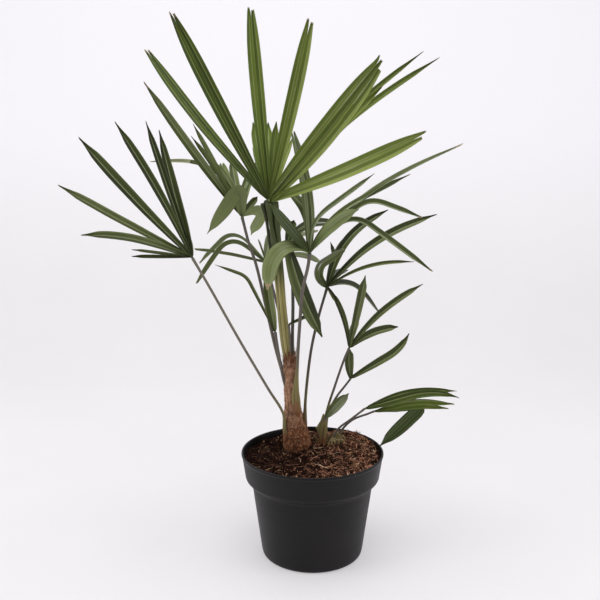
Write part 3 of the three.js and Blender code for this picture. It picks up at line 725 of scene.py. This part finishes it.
FRONDS = [
    fan("top_front", "bright", (-65, -50, 576), (0, -1, 0.15), 10,
        [(-37, 17, 300), (-48, 6, 386), (-54, -14, 468), (-60, -38, 543)], (7.6, 7, 10.5),
        leaf(134, -20, 317, 16.5, 7), leaf(118, 5, 293, 20.5, 2, tip=0.22),
        leaf(96.5, -8, 280, 20, 2, tip=0.42), leaf(75.5, 8, 258, 20, -2, tip=0.42),
        leaf(49, 20, 262, 32, -4, peak=0.52), leaf(47.5, -5, 324, 9, 16), leaf(21, 25, 256, 22, -6),
        leaf(104, -30, 135, 14, 2), leaf(92, -38, 145, 14, 0), leaf(85, -20, 122, 12, 0),
        leaf(108, -50, 140, 12, 0), leaf(76, -50, 150, 16, 10), leaf(50.5, -5, 312, 8, 14),
        leaf(46, 10, 228, 11, 2, tip=0.5)),
    fan("upper_left", "dark", (-110, 15, 548), (0, -0.9, 0.5), 5,
        [(-38, 20, 262), (-60, 22, 341), (-73, 24, 398), (-89, 22, 471), (-100, 19, 506)], (3.4, 2.3, 2),
        leaf(126, 12, 245, 13.5, 3, peak=0.45), leaf(117, -5, 145, 8, -11), leaf(118, -15, 167, 8, -2),
        leaf(110, -10, 191, 6.5, -72, knee=0.44, soft=0.8), leaf(106, -25, 102, 12, -25),
        leaf(92, 15, 124, 26, -143, knee=0.33, soft=0.1, peak=0.5, tip=0.06),
        leaf(25, 30, 80, 20, 146, knee=0.46, soft=0.4, peak=0.7, tip=0.06), leaf(104, -38, 112, 13, 0),
        leaf(90, -55, 150, 16, 30), leaf(50, -20, 40, 11, 0), leaf(124, -58, 170, 17, 10)),
    fan("far_left", "dark", (-177, -70, 495), (0.2, -1, 0.6), 5,
        [(-40, 24, 176), (-45, 20, 202), (-47, 15, 228), (-71, -6, 278), (-112, -35, 362),
        (-153, -60, 448)], (4.4, 2.1, 1.8),
        leaf(150, 15, 211, 12, 3), leaf(133, 8, 229, 15, 4), leaf(114.5, 0, 220, 12.5, -8),
        leaf(110, -12, 212, 10.5, 1), leaf(107, -17, 199, 15, 2, peak=0.3),
        leaf(156, 25, 164, 12, -28, knee=0.7), leaf(171, 12, 87, 5, 0), leaf(180, -5, 90, 6, 0),
        leaf(141, -75, 125, 12, 0)),
    fan("back_left", "dark", (-76, 80, 467), (0, 0.5, 1), 5,
        [(-38, 20, 300), (-51, 40, 378), (-66, 65, 432)], (2.8, 2.3, 2),
        leaf(169, -20, 133, 9, -7), leaf(142, -5, 163, 13, -93, knee=0.41, soft=0.4),
        leaf(137, -38, 207, 11, -88, knee=0.42, soft=0.4), leaf(77, -80, 190, 20, -10),
        leaf(75, -72, 205, 22, 10), leaf(42, -58, 185, 20, 40), leaf(15, -50, 150, 16, 50),
        leaf(108, 0, 40, 3, 0)),
    fan("narrow", "dark", (-59.5, 8, 366.5), (0, -1, 0.3), 4,
        [(-41, 24, 264), (-47, 14.3, 289), (-51, 9.5, 312)], (2.6, 2.2, 2),
        leaf(117, -5, 151, 5.5, -44, knee=0.65, soft=0.2), leaf(100, 6, 98, 15, 4, peak=0.4)),
    fan("front_right", "pale", (-6, -80, 504), (0, -0.75, 1), 6,
        [(-24, 22, 216), (-24, 15, 250), (-25, 8, 276), (-24, 1, 319), (-20, -25, 392), (-16, -52, 444),
        (-8, -72, 484)], (6, 2.5, 2.2),
        leaf(141, 20, 110, 25, -122, knee=0.37, soft=0.9, peak=0.5),
        leaf(132, 5, 90, 20, 6, peak=0.4, tip=0.2), leaf(90, -25, 195, 17, -17, peak=0.35),
        leaf(91, -30, 112, 15, -45, knee=0.56, soft=0.67),
        leaf(69, 15, 188, 8, 41, knee=0.28, soft=0.8, peak=0.6, tip=0.15),
        leaf(55, 15, 266, 8, 29, knee=0.38, peak=0.35, tip=0.2),
        leaf(90, -5, 155, 7, 54, knee=0.27, soft=0.5), leaf(44, 10, 215, 10, 80, knee=0.37, soft=0.3),
        leaf(44, 5, 191, 10, 64, knee=0.58, soft=0.3, peak=0.7),
        leaf(58, 30, 109, 26, 27, peak=0.5, tip=0.2)),
    fan("drooping", "dark", (-40, -15, 512), (-0.2, -1, 0.3), 5,
        [(-31.5, 18, 302), (-32, 8, 353), (-31, -4, 419), (-33, -12, 475)], (2.8, 2.4, 2.2),
        leaf(-76, 5, 157, 24, -13, peak=0.45), leaf(70, -25, 36, 14, 0), leaf(40, -45, 130, 18, 60)),
    fan("small_spear", "dark", (-37.2, -4, 380.4), (0, -1, 1), 3,
        [(-35, 12, 316), (-35.5, 5, 350)], (1.6, 1.5, 1.4),
        leaf(24, 5, 42, 7, -5)),
    fan("middle_right", "dark", (23, 20, 436), (0, -0.9, 0.7), 5,
        [(-12, 33, 180), (-12, 27.5, 222), (-10.5, 25, 257), (-2, 24, 333), (9, 22, 385)], (4.6, 2.2, 1.9),
        leaf(75, -15, 167, 13.5, 50, peak=0.38), leaf(48, -5, 211, 13, 30), leaf(35, 10, 145, 6.5, 34),
        leaf(44, -30, 133, 13, 97, knee=0.21, peak=0.35, tip=0.12),
        leaf(147, 10, 90, 21, 114, knee=0.33, soft=0.7, peak=0.5), leaf(61, -30, 81, 7, -48),
        leaf(-57, 20, 30, 7, 0), leaf(70, -60, 170, 16, 30), leaf(30, -75, 165, 16, 50)),
    fan("low_right", "dark", (60, 40, 332), (0, -0.8, 0.7), 4,
        [(17, 41, 166), (24, 41, 222), (38, 42, 269), (53, 41, 315)], (3, 1.9, 1.7),
        leaf(96, -10, 98, 9, -23), leaf(79, 15, 132, 13, -2, peak=0.7), leaf(54, 5, 160, 11, 22),
        leaf(37, -10, 90, 14, 32), leaf(60, -75, 120, 13, 30)),
    fan("low_pair", "dark", (64, 52, 277), (0, -0.8, 0.6), 3.5,
        [(22, 45, 164), (27, 53, 216), (41, 54, 245), (54, 53, 263)], (2.4, 1.8, 1.6),
        leaf(100, -4, 50, 15, 15), leaf(30, -5, 125, 13.5, -38, knee=0.8, soft=0.6, peak=0.5)),
    fan("young", "pale", (23, 30, 218), (0.3, -1, 0.2), 3,
        [(12, 37, 168), (16, 32, 198)], (2.2, 2, 1.8),
        leaf(57, 10, 58, 18, 13, peak=0.45, tip=0.1)),
    fan("rim_upper", "bright", (86, 25, 234), (0, -1, 0.2), 3.5,
        [(32, 36, 167), (42, 30, 196), (66, 27, 217)], (2.2, 1.7, 1.6),
        leaf(23, -8, 160, 11, 27, knee=0.46, soft=0.8, peak=0.45, tip=0.12),
        leaf(20, 10, 157, 13, 50, knee=0.82, soft=0.9, peak=0.4, tip=0.12)),
    fan("rim_lower", "bright", (104, 45, 223), (0, -1, -0.3), 3.5,
        [(41, 46, 166), (50, 50, 188), (68, 48, 207), (93, 46, 218)], (2.2, 1.7, 1.6),
        leaf(21, 8, 133, 13, 26, soft=0.8, peak=0.42, tip=0.12),
        leaf(8, -2, 125, 11, 22, knee=0.69, soft=0.8, peak=0.45, tip=0.12),
        leaf(7, -8, 178, 24, 139.5, knee=0.425, soft=0.14, peak=0.64, tip=0.1))
]
print("fronds", len(FRONDS), "leaflets", sum(len(f["leaflets"]) for f in FRONDS))

# %% [markdown]
# ## A leaflet
# A fan palm's leaflet is a strap folded into a V along its rib, so its two halves catch the light
# differently. Broad ones are two or three straps still joined edge to edge, which part near the end,
# and each end is notched. The middle line and the width follow the source's rule. The strap has a top
# and an underside half a millimetre apart, so it is closed, and its edge waves a little.

# %% Leaflet rule
ROOT_WIDE, FOLD, FOLD_MIN = 0.38, 0.26, 2.2


def leaf_line(hub, size, s):
    """Sets out at `turn` and turns down by `bend` round the knee; points at the parts s."""
    fine = (np.arange(240) + 0.5) / 240
    v = np.clip((fine - size["knee"]) / size["soft"] + 0.5, 0, 1)
    a = np.radians(size["turn"] - size["bend"] * v * v * (3 - 2 * v))
    lean = np.radians(size["lean"])
    way = np.stack([np.cos(a) * np.cos(lean), np.full(240, -np.sin(lean)), np.sin(a) * np.cos(lean)], -1)
    line = np.vstack([[hub], hub + np.cumsum(way, 0) * size["long"] / 240])
    return np.stack([np.interp(s * 240, np.arange(241), line[:, k]) for k in range(3)], -1)


def leaf_width(size, s, late=1.7):
    """Widens as a quarter sine to the peak, then narrows to the tip; a lower `late` narrows sooner."""
    rise = ROOT_WIDE + (1 - ROOT_WIDE) * np.sin(0.5 * np.pi * s / size["peak"])
    fall = np.clip((s - size["peak"]) / (1 - size["peak"]), 0, 1) ** late
    drop = size["tip"] + (1 - size["tip"]) * np.cos(0.5 * np.pi * fall)
    return size["wide"] * np.where(s < size["peak"], rise, drop)


def strap(frond, number, which, straps, start, stop, split, phase, crisp=1.0, stations=40, across=9):
    """One joined strap of a leaflet, from the part `start` to `stop` of its length."""
    s = np.linspace(start, stop, stations)
    part = s[:, None]
    size = frond["leaflets"][number]
    line = leaf_line(np.array(frond["hub"], float), size, np.linspace(0, 1, 121))
    t, up, side = frames(line, frond["face"])
    at = lambda field: np.stack([np.interp(s * 120, np.arange(121), field[:, k]) for k in range(3)], -1)
    middle, up, side = at(line), at(up)[:, None], at(side)[:, None]
    here = (frond["name"], number)
    wide = leaf_width(size, s, LATE.get(here, 1.7))
    wide = (wide * np.interp(s, [0, SLIM_ROOT.get(here, 0.05)], [0.5, 1]))[:, None]
    parted = np.clip((s - split) / (1 - split), 0, 1)[:, None]
    place = which - (straps - 1) / 2
    blunt = 1 - 0.45 * np.clip((part - 0.985) / 0.015, 0, 1) ** 2
    if straps == 1:
        blunt *= 1 - 0.5 * np.clip((part - 0.86) / 0.1, 0, 1)
    half = wide / (2 * straps) * (1 - 0.3 * parted ** 1.4) * blunt
    shift = place * (wide / straps + 0.1 * size["wide"] * parted ** 1.7)
    q = np.linspace(-1, 1, across)[None]
    notch = 0.02 * np.clip((part - 0.92) / 0.08, 0, 1) ** 2 * (1 - np.abs(q))
    middle = middle[:, None] - at(t)[:, None] * (notch * size["long"])[..., None]
    crease = (np.sqrt(q * q + 0.02) - 0.14) / 0.87
    fold = crisp * (FOLD * wide / straps + (FOLD_MIN if straps == 1 else 1.6))
    bowl = (FOLD * wide + FOLD_MIN) * (np.abs(shift + half * q) / (wide / 2 + 0.01) - 0.5)
    slow, quick = 9 * part + phase, 21 * part + 2 * phase
    waves = 0.022 * wide * q * np.sin(slow) + 0.012 * wide * np.sin(quick)
    lift = fold * (crease - 0.5) * (0.9 if straps == 1 else 1) + (0 if straps == 1 else 0.45) * bowl + waves
    thick = 0.16 + 0.34 * (1 - q * q)
    keel = 0.45 * np.exp(-(q / 0.16) ** 2) * (1 - 0.7 * part)
    x = shift + half * q
    upper = middle + side * x[..., None] + up * (lift + thick / 2)[..., None]
    under = middle + side * x[..., None] + up * (lift - thick / 2 - keel)[..., None]
    rings = np.concatenate([upper, under[:, ::-1]], 1)
    u = np.concatenate([(q + 1) / 2, (q[:, ::-1] + 1) / 2], 1)
    return rings, np.stack(np.broadcast_arrays(u, part), -1)


# Leaflets that narrow sooner towards the tip, and those with a long slim root.
LATE = {("upper_left", 5): 1.05, ("upper_left", 6): 1.2, ("rim_lower", 2): 1.3}
SLIM_ROOT = {("upper_left", 6): 0.4, ("rim_lower", 2): 0.2}
# Leaflets with a dead end, by frond and place in its row, and how much of the length is dry.
DRY = {"front_right": {0: 0.09, 5: 0.04, 7: 0.03, 8: 0.03}, "upper_left": {0: 0.05, 3: 0.35},
       "top_front": {0: 0.02, 1: 0.02}, "far_left": {2: 0.03, 3: 0.04}, "middle_right": {2: 0.04},
       "rim_upper": {0: 0.03}}
# Leaflets that are seen from beneath, where no rib shows and the blade is nearly flat.
FLAT = {("front_right", 0), ("front_right", 1), ("front_right", 9), ("upper_left", 5), ("upper_left", 6),
        ("rim_lower", 2)}
# Broad leaflets that stay whole to the tip, and how far each strap of a joined one reaches.
WHOLE = FLAT | {("drooping", 0), ("young", 0)}
ENDS = {("top_front", 4): (1, 0.985, 0.94), ("top_front", 6): (1, 0.965)}
# How light a leaflet is painted, mostly from 0 to 1, as the least and most: by its place, or its frond's
# "rest".
# Partly each leaflet's own tone and partly painted light and painted shade, where a leaflet is set lighter
# or darker for the light that falls on it.
LEAF_TONE_AND_PAINTED_LIGHT = {"top_front": {"rest": (0.3, 0.6), 0: (0, 0.1), 1: (-0.2, 0), 3: (0.6, 0.8), 4: (0.5, 0.7),
                      6: (0.9, 1)},
        "upper_left": {"rest": (0.6, 1), 5: (0.8, 0.9), 6: (0.8, 0.9)}, "narrow": {"rest": (0.9, 1.1)},
        "far_left": {"rest": (-0.4, 0), 0: (0.4, 0.5), 1: (0.1, 0.2), 5: (0.4, 0.5), 6: (0.9, 1)},
        "back_left": {"rest": (0.7, 0.9)}, "drooping": {"rest": (0.3, 0.5)}, "young": {"rest": (0.6, 0.7)},
        "front_right": {"rest": (0.4, 0.6), 0: (0.1, 0.2), 1: (-0.6, -0.5), 4: (0.8, 0.9), 5: (1.1, 1.2),
                        6: (0.9, 1.1), 7: (0.4, 0.5), 9: (-0.1, 0)},
        "middle_right": {"rest": (0.1, 0.3), 2: (0.9, 1), 4: (0.4, 0.5)}, "low_right": {"rest": (0.4, 0.7)},
        "low_pair": {"rest": (0.7, 0.9), 0: (0.4, 0.5)}, "rim_upper": {"rest": (-0.2, 0.1)},
        "rim_lower": {"rest": (0, 0.3), 2: (-1.1, -1)}}


def leaflet(green, dry, frond, number, size):
    """All straps of a leaflet go to the green heap, their dead ends to the dry one."""
    here = (frond["name"], number)
    straps = 1 if size["wide"] < 16 or here in WHOLE else 2 if size["wide"] < 30 else 3
    split = rng.uniform(0.86, 0.94) + (0.03 if frond["green"] == "bright" else 0)
    tones = LEAF_TONE_AND_PAINTED_LIGHT.get(frond["name"], {})
    # The tone holds the leaflet's own tone together with painted light and painted shade.
    tone = rng.uniform(*tones.get(number, tones.get("rest", (0, 1))))
    phase = rng.uniform(0, 6)
    dead = DRY.get(frond["name"], {}).get(number, 0.012 * rng.random())
    for which in range(straps):
        end = ENDS.get(here, (1, 0.985))[which]
        own = tone + rng.normal(0, 0.07)
        crisp = 0.35 if here in FLAT else 1
        rings, uv = strap(frond, number, which, straps, 0, end - dead, split, phase, crisp)
        # A flat leaflet's map covers only the lighter side of the painted half shade, and misses the rib
        # and the pale edges.
        if here in FLAT:
            uv[..., 0] = 0.56 + 0.36 * uv[..., 0]
        green.rings(rings, uv, own)
        rings, uv = strap(frond, number, which, straps, end - dead, end, split, phase, crisp, stations=7)
        dry.rings(rings, uv, own - 2 * (here == ("upper_left", 3)))


def knob(heap, at, radius, tone):
    """A small smooth ball where the leaflets meet."""
    a = np.linspace(0.08, np.pi - 0.08, 12)
    b = 2 * np.pi * np.arange(16) / 16
    ball = np.stack(np.broadcast_arrays(np.sin(a)[:, None] * np.cos(b), np.sin(a)[:, None] * np.sin(b),
                                        -np.cos(a)[:, None]), -1)
    heap.tube(np.array(at) + radius * ball, tone)


green = {"bright": Heap(), "dark": Heap(), "pale": Heap()}
dry = Heap()
for frond in FRONDS:
    own = green[frond["green"]]
    knob(own, frond["hub"], 0.35 * frond["knuckle"], -0.5)
    for number, size in enumerate(frond["leaflets"]):
        leaflet(own, dry, frond, number, size)

# %% [markdown]
# ## Leaf green
# Seen close, a leaflet has fine veins along it, a pale rib down its fold and slightly yellow edges. The
# piece's own map runs across and along each strap, so the veins are waves across it. Its tone makes
# some leaflets older and darker than others, and it also carries painted light and painted shade on
# single leaflets. One half of each strap is painted darker than the other, as painted shade across the
# fold. The leaf is satin, and the veins give it a fine bump.


# %% Leaf finish
def leaf_finish(name, shade, middle, light, rib, fold):
    """A green from dark to light by cloud, tone and a painted half shade, darker towards the root, with
    veins, rib and pale edges. `fold` is how much darker one half of each strap is painted: painted shade.
    """
    skin = Finish(name, 0.3)
    across, along = skin.uv(0), skin.uv(1)
    cloud = skin.noise(16, 4)
    veins = (across * 75).wave()
    bands = (across * 22 + cloud * 2).wave()
    off_rib = (across - 0.5).size()
    on_rib = 1 - off_rib.between(0.015, 0.07)
    on_edge = off_rib.between(0.44, 0.5)
    # Painted shade: one half of each strap is painted darker than the other, as if the V-fold turned it
    # from the light.
    half = across.between(0.46, 0.54)
    base = 1 - along.between(0, 0.4)
    amount = skin.tone() * 0.6 + cloud * 0.35 + bands * 0.14 + (half - 0.5) * fold - base * 0.2
    colour = skin.mix(amount.between(0.1, 0.55), shade, middle)
    colour = skin.mix(amount.between(0.5, 1.0), colour, light)
    colour = skin.mix(on_rib * 0.75 + on_edge * 0.3 + veins * 0.1, colour, rib)
    rough = 0.34 + cloud * 0.16 - veins * 0.04
    height = veins * 0.35 + bands * 0.3 + on_rib * 0.6
    return skin.done(colour, rough, height, 0.0004)


# The last number of each is how much darker one half of every strap is painted, a painted shade across the
# fold.
finishes = {
    "bright": leaf_finish("bright_leaf", "35470b", "6a7d2a", "9aa757", "b4ba7c", 0.24),
    "dark": leaf_finish("dark_leaf", "1a2208", "4a5524", "808a58", "a2a97c", 0.42),
    "pale": leaf_finish("pale_leaf", "364219", "6c7745", "a3ad86", "b2b995", 0.36),
}
for kind, slot in (("bright", "leaf_bright"), ("dark", "leaf_dark"), ("pale", "leaf_pale")):
    piece = green[kind].build("leaflets_" + kind, finishes[kind])
    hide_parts(*[f["name"] + "_blade" for f in FRONDS if f["green"] == kind])
    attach(piece, "root")

straw_end = Finish("dry_tip", 0.3)
shade = straw_end.mix(straw_end.tone() * 0.5 + straw_end.noise(300) * 0.6, "96815a", "dccfa8")
shade = straw_end.mix((0 - straw_end.tone()).between(0, 1), shade, "b4b994")
tips = dry.build("dry_tips", straw_end.done(shade, 0.8, (straw_end.uv(0) * 60).wave(), 0.0003))
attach(tips, "root")

# %% [markdown]
# ## The stalks
# A leaf stalk is slim and a little flattened, with a groove along its upper side, and it widens into a
# sheath where it clasps the trunk. The top fan's stalk is a bundle: its own stalk with the next leaves,
# still folded, pressed against it. Each is a ring carried along the source's curve.


# %% Stalk shapes
def stalk_line(frond):
    """The source's curve from the foot to just inside the hub."""
    hub = np.array(frond["hub"], float)
    back = np.array(frond["stalk"][-1]) - hub
    end = hub + back / np.linalg.norm(back) * frond["knuckle"] * 0.35
    return through([*frond["stalk"], end], ALONG)


def stalk_radius(radii, u):
    """The source's radii at foot, waist and tip, tapered into the trunk and flared at the hub."""
    r = np.interp(u, [0, STALK_WAIST, 1], radii)
    return r * (1 - 0.75 * np.clip(1 - u / 0.08, 0, 1) ** 2 + 0.25 * np.exp(-(1 - u) / 0.03))


def fluted(r, sides, depth, count):
    """Adds grooves along a limb: r (1 + depth cos(count a))."""
    a = 2 * np.pi * np.arange(sides) / sides
    return r[:, None] * (1 + depth * np.cos(count * a))[None]


STALK_WAIST = 0.3
ALONG = np.linspace(0, 1, 70)
# How much of a stalk, from its foot, is an old leaf sheath.
SHEATH = {"far_left": 0.35, "middle_right": 0.42, "front_right": 0.35, "low_right": 0.3, "low_pair": 0.25,
          "young": 0.8, "upper_left": 0.06, "narrow": 0.1}
# How dark a stalk is where it isn't left to chance: over 0.4 darker, under 0 paler.
STALK_TONE = {"middle_right": 0.75, "front_right": 0.3, "far_left": -0.3, "drooping": 1.0, "young": 0.2}
# The strands of the top stalk: how far each lies right of its line and its radius, in millimetres, at the
# parts of its length below, how far it lies in front, and its tone at the foot and at the hub.
STRAND_AT = [0, 0.06, 0.13, 0.22, 0.35, 0.47, 0.57, 0.65, 0.73, 0.87, 1]
STRANDS = [([-1, -5, -5.1, -4.8, -3.6, -4.5, -7.4, -8.8, -9, -9.4, -10.5],
            [0.5, 1.6, 2.4, 2.1, 2.1, 2.1, 2.3, 2.3, 2.2, 2.7, 3.4], 0.5, 0.1, 1.0),
           ([0, -0.9, 0, 0.3, 1, 1.4, 0.2, -0.4, -2.6, -2, -1],
            [0.5, 2.2, 3.4, 3.2, 2.9, 2.9, 3, 3.1, 3, 3.5, 4.8], 2, 0.0, 0.2),
           ([1, 3.3, 4.9, 6, 6.1, 6.3, 6.2, 6, 5.6, 7.4, 8.5],
            [0.5, 1.9, 2.4, 2.9, 2.6, 2.7, 2.8, 3.2, 4, 4.1, 4.6], 1, 0.45, 0.1),
           ([0, 0, 0, 0, 0.5, 1, 0, -1, -1, -1, -1],
            [0.5, 2.5, 4.5, 4.5, 4.5, 4.5, 5, 5.5, 6, 7, 8], -4, 0.9, 1.0),
           ([-1, -4, -4, -3.6, -2.6, -1.6, -2.6, -3.6, -5.6, -5.6, -5.6],
            [0.4, 0.5, 0.5, 0.5, 0.5, 0.5, 0.5, 0.6, 0.6, 0.6, 0.7], 3.4, -1.0, -0.4)]
# Flat sheaths that clasp the trunk and the side shoot: places, half widths and half thickness, tone.
CLASPS = [([(-26.5, 15.5, 228), (-27.3, 15, 245), (-27.1, 13.5, 264), (-25.9, 9.5, 284), (-24.8, 5, 303)],
           [1.1, 6.1, 5.8, 3.8, 2.4], 1.6, 0.35),
          ([(17.7, 38, 166), (17.3, 37, 179), (14.7, 36.5, 197), (17.3, 36, 208), (18.9, 36, 221)],
           [5, 5.6, 7.3, 4.3, 1.3], 1.8, -0.35),
          ([(20.6, 35, 166), (20.6, 34, 191), (21.4, 33.5, 212), (23.5, 33, 229)],
           [2.7, 2.8, 2, 1.1], 1.2, 0.1)]


def strip(places, half, thick):
    """A flat limb: an oval section, wide from side to side, along a curve."""
    u = np.linspace(0, 1, 60)
    wide = np.interp(u, np.linspace(0, 1, len(half)), half)[:, None]
    deep = np.minimum(wide, thick)
    a = 2 * np.pi * np.arange(24)[None] / 24
    radius = wide * deep / np.hypot(deep * np.cos(a), wide * np.sin(a))
    return limb(through(places, u), radius * (1 + 0.03 * np.cos(9 * a)))


thin, bundle = Heap(), Heap()
for places, half, thick, tone in CLASPS:
    rings = strip(places, half, thick)
    uv = around(rings)
    uv[..., 1] = 0.02 + 0.2 * uv[..., 1]
    thin.rings(rings, uv, tone)
for frond in FRONDS[1:]:
    rings = limb(stalk_line(frond), fluted(stalk_radius(frond["r"], ALONG), 16, 0.09, 2))
    uv = around(rings)
    end = SHEATH.get(frond["name"], 0.12)
    uv[..., 1] = np.interp(ALONG, [0, end, end + 0.12, 1], [0, 0.2, 0.32, 1])[:, None]
    thin.rings(rings, uv, STALK_TONE.get(frond["name"], 0.6 * rng.random()))
top_line = stalk_line(FRONDS[0])
_, up, side = frames(top_line, (1, 0.01, 0))
for right, radius, front, tone, tone_top in STRANDS:
    right, radius = np.interp(ALONG, STRAND_AT, right), np.interp(ALONG, STRAND_AT, radius)
    front = front * np.clip(ALONG / 0.13, 0.2, 1) * (1 + 0.5 * ALONG)
    rings = limb(top_line + up * right[:, None] - side * front[:, None], fluted(radius, 20, 0.04, 5))
    bundle.tube(rings, tone + (tone_top - tone) * np.clip((ALONG - 0.4) / 0.2, 0, 1))


# %% Stalk finish
def stalk_finish(name, low, high, dark, turn_at):
    """Brown matting at the foot, then from one colour to the other, darker streaks, a satin skin."""
    skin = Finish(name, 0.35)
    along = skin.uv(1)
    streak = skin.grain(7, 3)
    ragged = skin.noise(300, 4, (1, 1, 0.15))
    colour = skin.mix((along + streak * 0.2 - 0.1).between(turn_at - 0.1, turn_at + 0.1), low, high)
    colour = skin.mix(streak.between(0.42, 0.66) * 0.55 + skin.tone().between(0.4, 1) * 0.7, colour, dark)
    colour = skin.mix((0 - skin.tone()).between(0, 1) * 0.8, colour, "a9a684")
    colour = skin.mix((ragged * 0.16 - along).between(-0.03, 0.05), colour, "8a5a3c")
    return skin.done(colour, 0.5 + streak * 0.15, streak, 0.0005)


skin = stalk_finish("slim_stalk", "918553", "6e665f", "443f36", 0.26)
slim = thin.build("slim_stalks", skin)
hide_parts(*[f["name"] + "_stalk" for f in FRONDS[1:]])
skin = stalk_finish("pale_stalk", "b9ae70", "4c562c", "262b10", 0.44)
thick = bundle.build("stalk_bundle", skin)
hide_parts("top_front_stalk")
for piece in (slim, thick):
    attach(piece, "root")

# %% [markdown]
# ## The side shoot
# Beside the trunk a second crown stands just out of the soil: a matted foot, a short stem, curved dead
# stubs and green sheaths that clasp the low stalks. The foot, stem and stubs follow the source's sizes.

# %% Side shoot
STUB_Z = 162
STUBS = [(24, 38, 10, 25, 2.8), (30, 38, 12, 27, 2.6), (36, 41, 15, 27, 2.6), (42, 42, 30, 21, 2.4),
         (28, 36, -12, 14, 2.4), (17, 42, -17, 36, 3), (10, 46, -20, 20, 3)]
u = np.linspace(0, 1, 30)
old = Heap()


def stick(places, radii, tone, sides, depth, count):
    """A grooved limb through places, with radii evenly spaced along it."""
    r = np.interp(u, np.linspace(0, 1, len(radii)), radii)
    old.tube(limb(through(places, u), fluted(r, sides, depth, count)), tone)


mound = through([(8, 42, 161), (26, 43, 163), (44, 44, 161)], u)
knots = patches(np.arange(30.0)[:, None] / 2, np.arange(24.0)[None] / 2, 11)
old.tube(limb(mound, np.interp(u, [0, 0.5, 1], [4.8, 8, 4.8])[:, None] * (1 + 0.12 * knots)), -0.5)
stick([(14, 42, 160), (16, 42, 176), (19, 42, 192)], [7, 3.5], 0.7, 24, 0.1, 3)
for x, y, lean, tall, r in STUBS:
    reach = tall * np.sin(np.radians(lean))
    stick([(x, y, STUB_Z), (x + 0.3 * reach, y, STUB_Z + 0.55 * tall),
           (x + reach, y - 2, STUB_Z + 0.95 * tall)],
          [1.1 * r, 0.65 * r, 0.4 * r], rng.random(), 16, 0.12, 2)
for k in range(14):
    x, y, tall, reach = 28 + 1.4 * k, rng.uniform(29, 36), rng.uniform(12, 22), rng.uniform(4, 12)
    stick([(x, y, 162), (x + 0.1 * reach, y - 1, 163 + 0.8 * tall), (x + 0.5 * reach, y - 2, 164 + tall),
           (x + 0.9 * reach, y - 2, 164 + 0.7 * tall), (x + reach, y - 1, 164 + 0.2 * tall)],
          [1.3, 0.7], rng.uniform(0.8, 1.2), 10, 0.1, 2)
sheath = Finish("old_sheath", 0.3)
streak = sheath.noise(240, 4, (1, 1, 0.2))
colour = sheath.mix(sheath.tone() * 0.6 + streak * 0.5, "584a2c", "a3946a")
shoot = old.build("shoot_foot", sheath.done(colour, 0.75, streak, 0.0009))
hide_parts("side_shoot")
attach(shoot, "root")
